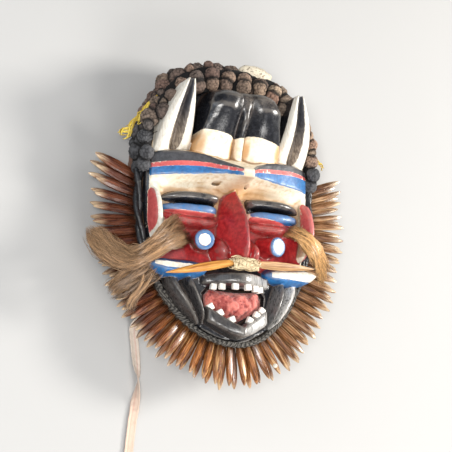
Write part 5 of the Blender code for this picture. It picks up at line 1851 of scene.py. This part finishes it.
# Moustache: two spikes bound together under the nose
moustache = {
    "inner": (13, -29.9, 84),
    "outer": {-1: (-89, -35, 78), 1: (91, -29.2, 78)},
    "radius": 0.0046,
    "pod": (    # share of the length, share of the radius
        (0, 0.62), (0.12, 0.82), (0.30, 0.98), (0.50, 0.96), (0.72, 0.72), (0.90, 0.36), (1.0, 0.08),
    ),
    "lean": 0.09,           # the spikes lean down and back from their roots
    "bindingRadius": 0.0062,
    "bindingHalf": 0.0165,
    "bindingLayers": 4,
    "bindingTurns": 9,
    "core": ((-0.7, 0.6), (-0.35, 0.74), (0, 0.78), (0.35, 0.74), (0.7, 0.6)),
    "looseFibres": 26,
    "strandRadius": 0.0008,
    "looseRadius": 0.00042,
}


def moustacheWood(name, dark, light, streakColour):
    material, tree, shader = startMaterial(name)
    place = alongGrain(tree, 0.05)
    grain = noiseOn(tree, place, 800, 5, 0.6)
    colour = toned(tree, grain, (0.3, 0.7), dark, light)
    colour = toned(tree, noiseOn(tree, place, 300, 3), (0.52, 0.68, 0.75), colour, streakColour)
    setSockets(tree, shader, {"Base Color": colour, "Roughness": 0.42, "Normal": bumpOf(tree, grain, 0.0004)})
    return material


def buildMoustache():
    orange = moustacheWood("orangeSpike", (0.40, 0.15, 0.02), (0.72, 0.36, 0.08), (0.30, 0.09, 0.012))
    tan = moustacheWood("tanSpike", (0.30, 0.15, 0.06), (0.56, 0.34, 0.16), (0.20, 0.09, 0.035))
    for side, name, material in ((-1, "left", orange), (1, "right", tan)):
        inner = spot(side * moustache["inner"][0], *moustache["inner"][1:])
        outer = spot(*moustache["outer"][side])
        points = [inner.lerp(outer, share) for share, _ in moustache["pod"]]
        halves = [moustache["radius"] * size for _, size in moustache["pod"]]
        strand = (points, halves, 0.31 + 0.2 * side, 0.9)
        spike = sweepMany("moustache_spike_" + name, [strand], 8, knifeCut)
        finishPiece(spike, "orange_spikes", material, "moustache_" + name, angle=38)


def onBinding(x, turn, radius, aside=0.0, lean=1):
    drop = moustache["lean"] * abs(x)
    off = Vector((x + aside, math.cos(turn) * radius - lean * drop, math.sin(turn) * radius - drop))
    return spot(0, *moustache["inner"][1:]) + off


def buildBinding():
    # Raffia wound round the two roots in uneven layers, over a core, with loose fibres across it
    half, radius, turns = moustache["bindingHalf"], moustache["bindingRadius"], moustache["bindingTurns"]
    pick = random.Random(21)
    strands = []
    for layer in range(moustache["bindingLayers"]):
        drift, points = pick.uniform(0, 6.28), []
        for step in range(turns * 10 + 1):
            share = step / (turns * 10)
            x = half * (2 * share - 1) * (1 if layer % 2 else -1) * (1 - 0.1 * layer)
            turn = 2 * math.pi * turns * share + drift
            swell = 0.95 - 0.18 * (x / half) ** 2 + 0.09 * math.sin(7 * turn + layer)
            points.append(onBinding(x, turn, radius * swell, 0.0013 * math.sin(2.3 * turn + 2 * layer)))
        strands.append((points, moustache["strandRadius"], pick.random(), 0.5))
    core = [onBinding(x * half, 0, 0) for x, _ in moustache["core"]]
    strands.append((core, [radius * size for _, size in moustache["core"]], 0.2, 1))
    for n in range(moustache["looseFibres"]):
        start, around = pick.uniform(-1.05, 0.25), pick.uniform(0.1, 3.0)
        rise, points = pick.uniform(0.9, 1.25), []
        for k in range(7):
            turn = around + pick.uniform(-0.12, 0.12) + 0.10 * k * (1 if n % 2 else -1)
            x = half * (start + 0.14 * k)
            points.append(onBinding(x, turn, radius * (rise - 0.015 * (k - 3) ** 2), lean=0))
        strands.append((points, moustache["looseRadius"], pick.random(), 0.5))
    binding = sweepMany("raffia_winding", strands, 6)
    fibre = plainFibre("creamRaffia", (0.22, 0.14, 0.06), (0.80, 0.66, 0.42), 0.6, 1500, 0.1)
    finishPiece(binding, "cream_raffia", fibre, "raffia_binding", angle=60)


# Square teeth, a little chipped
teeth = {"voxel": 0.00042, "smoothing": 5, "chipSize": 0.0022, "chipDepth": 0.00022}


def buildTeeth():
    material, tree, shader = startMaterial("paintedTeeth")
    stain = noiseOn(tree, objectPlace(tree), 520, 4)
    colour = toned(tree, stain, (0.5, 0.75), (0.84, 0.81, 0.74), (0.60, 0.50, 0.38))
    setSockets(tree, shader, {"Base Color": colour, "Roughness": 0.4, "Normal": bumpOf(tree, stain, 0.0003)})
    for row in ("upper", "lower"):
        for n in range(1, 7):
            node = "%s_tooth_%d" % (row, n)
            tooth = remade(cadCopy(node, "%s_peg_%d" % (row, n)), teeth["voxel"], teeth["smoothing"])
            pushOut(tooth, lambda points, normals: field(points, teeth["chipSize"], n) * teeth["chipDepth"])
            finishPiece(tooth, "white_teeth", material, node, angle=180)


# The tongue, a rough felt pad
tongue = {
    "voxel": 0.0007,
    "smoothing": 14,
    "lumps": ((0.009, 1, 0.0009), (0.0034, 2, 0.0007), (0.0017, 3, 0.0005)),   # size, seed, height
}


def coralFelt():
    material, tree, shader = startMaterial("coralFelt")
    place = objectPlace(tree)
    fuzz = noiseOn(tree, place, 1300, 5, 0.75, 1.2)
    fuzz = plus(tree, times(tree, attribute(tree, "pit"), 0.35), fuzz)
    colour = toned(tree, fuzz, (0.15, 0.85), (0.22, 0.022, 0.020), (0.72, 0.20, 0.16))
    colour = toned(tree, noiseOn(tree, place, 130, 4), (0.5, 0.75, 0.4), colour, (0.72, 0.33, 0.26))
    setSockets(tree, shader, {
        "Base Color": colour, "Roughness": 0.95, "Sheen Weight": 0.3, "Normal": bumpOf(tree, fuzz, 0.0006),
    })
    return material


def buildTongue():
    pad = remade(cadCopy("tongue", "felt_tongue"), tongue["voxel"], tongue["smoothing"])
    lumps = relief(coordinates(pad), tongue["lumps"])
    pushOut(pad, lambda points, normals: lumps * smoothStep(0.2, 0.6, normals[:, 2]))
    storeNumber(pad, "pit", lumps * 1000)
    finishPiece(pad, "coral_felt", coralFelt(), "tongue", angle=180)


# Torn cloth strip from the back of the jaw down to the floor and along it
tie = {
    # metres from the bridge, and the roll in degrees where the strip turns over
    "route": (
        (-0.0790, -0.1400, 0.0075, 10), (-0.0855, -0.1520, 0, 0), (-0.0835, -0.1720, 0, 0),
        (-0.0822, -0.1900, 0, 20), (-0.0816, -0.2060, 0, 80), (-0.0824, -0.2160, 0, 110),
        (-0.0838, -0.2300, 0, 160), (-0.0860, -0.2450, 0, 180), (-0.0885, -0.2650, 0, 180),
        (-0.0912, -0.2900, 0, 180),
    ),
    "width": 0.0102,
    "thickness": 0.0006,
    "startHeight": -0.132,
    "startLevel": 0.019,
    "startOff": 0.0027,     # out from the wood's edge, behind the band
    "points": 9,            # across the strip
    "halfWidth": 0.0047,    # as it lies, with its edges curled
    "clearance": 0.0003,
}


def tiePath():
    # Places in metres from the bridge, each with its roll in thousands of degrees
    start = beside(math.pi - angleAtHeight(tie["startHeight"]), wood["edgeGap"] + tie["startOff"]) - bridge
    rows = [(start.x, start.y, tie["startLevel"], 12)]
    for x, y, height, roll in tie["route"]:
        turn = math.radians(roll)
        rest = 0.0046 * abs(math.sin(turn)) + tie["thickness"] * abs(math.cos(turn))
        rows.append((x, y, height + rest + tie["clearance"], roll))
    return smoothRows([(x, y, z, roll / 1000) for x, y, z, roll in rows], 9, byLength=True)


def paleCloth():
    material, tree, shader = startMaterial("paleCloth")
    place = attribute(tree, "grain", vector=True)
    weave = [
        addNode(tree, "ShaderNodeTexWave", {"Vector": place, "Scale": 420, "Distortion": 0.6},
                bands_direction=direction).outputs["Fac"] for direction in ("X", "Y")
    ]
    threads = times(tree, *weave)
    pale = toned(tree, threads, (0.0, 0.5), (0.56, 0.46, 0.38), (0.80, 0.72, 0.64))
    colour = toned(tree, axisOf(tree, place, 1), (0.07, 0.11, 0.6), pale, (0.72, 0.50, 0.38))
    fromStripe = sums(tree, "ABSOLUTE", plus(tree, axisOf(tree, place, 0), 0.0012))
    colour = toned(tree, fromStripe, (0.0012, 0.0006, 0.35), colour, (0.55, 0.25, 0.20))
    colour = toned(tree, noiseOn(tree, place, 60, 4), (0.45, 0.8, 0.4), colour, (0.48, 0.36, 0.26))
    setSockets(tree, shader, {
        "Base Color": colour, "Roughness": 0.95, "Normal": bumpOf(tree, threads, 0.0002),
    })
    return material


def onFloor(thing, level):
    points = coordinates(thing)
    points[:, 2] = np.maximum(points[:, 2], level)
    setCoordinates(thing, points)


def buildTie():
    path, across = tiePath(), tie["points"]
    bpy.ops.object.select_all(action="DESELECT")
    bpy.ops.mesh.primitive_grid_add(x_subdivisions=across - 1, y_subdivisions=len(path) - 1, size=1)
    strip = bpy.context.object
    strip.name = strip.data.name = "cloth_strip"
    points, grain = [], []
    length = 0.0
    for n, row in enumerate(path):
        ahead = Vector(path[min(n + 1, len(path) - 1)][:3] - path[max(n - 1, 0)][:3]).normalized()
        flat = ahead.cross(outward).normalized()
        above = flat.cross(ahead)
        turn = math.radians(row[3] * 1000)
        wide = flat * math.cos(turn) + above * math.sin(turn)
        thick = ahead.cross(wide)
        length += float(np.linalg.norm(row[:3] - path[max(n - 1, 0)][:3]))
        for k in range(across):
            share = 2 * k / (across - 1) - 1
            torn = 1 + (0.05 * math.sin(37 * length / 0.01 + share) if abs(share) == 1 else 0)
            curl = 0.0011 * share * share + 0.0003 * math.sin(900 * length + 3 * share)
            aside = wide * share * torn * tie["halfWidth"]
            points.append(bridge + Vector(row[:3]) + aside - thick * curl * math.cos(turn))
            grain.append((share * tie["width"] / 2, length, 0))
    setCoordinates(strip, points)
    onFloor(strip, 0.0004)
    storeVector(strip, "grain", grain)
    applied(strip, "SOLIDIFY", thickness=tie["thickness"], offset=0)
    onFloor(strip, 0.0002)
    normalsOut(strip)
    finishPiece(strip, "pale_cloth", paleCloth(), "cloth_tie", angle=180)


def buildThreadKnot():
    # Loops of thread round a middle, each with its own pole
    low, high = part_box("thread_knot")
    centre, radius = (low + high) / 2, (high.z - low.z) / 2
    pick = random.Random(17)
    strands = []
    for _ in range(14):
        pole = anyWay(pick).normalized()
        wide = pole.orthogonal().normalized()
        tall = pole.cross(wide)
        reach = radius * pick.uniform(0.62, 0.84)
        points = [
            centre + pole * radius * 0.075 * pick.uniform(-1, 1)
            + (wide * math.cos(t) + tall * math.sin(t)) * reach for t in fullTurn(14)[:13]
        ]
        strands.append((points, 0.00045, pick.random(), 1))
    knot = sweepMany("white_thread_knot", strands, 6)
    fibre = plainFibre("whiteThread", (0.52, 0.48, 0.40), (0.88, 0.86, 0.78), 0.8)
    finishPiece(knot, "white_thread", fibre, "thread_knot", angle=180)


for build in (
    buildBand, buildRuff, buildWig, buildPaleKnot, buildRaffia, buildFur, buildMoustache, buildBinding,
    buildTeeth, buildTongue, buildTie, buildThreadKnot,
):
    build()

bpy.ops.object.select_all(action="DESELECT")
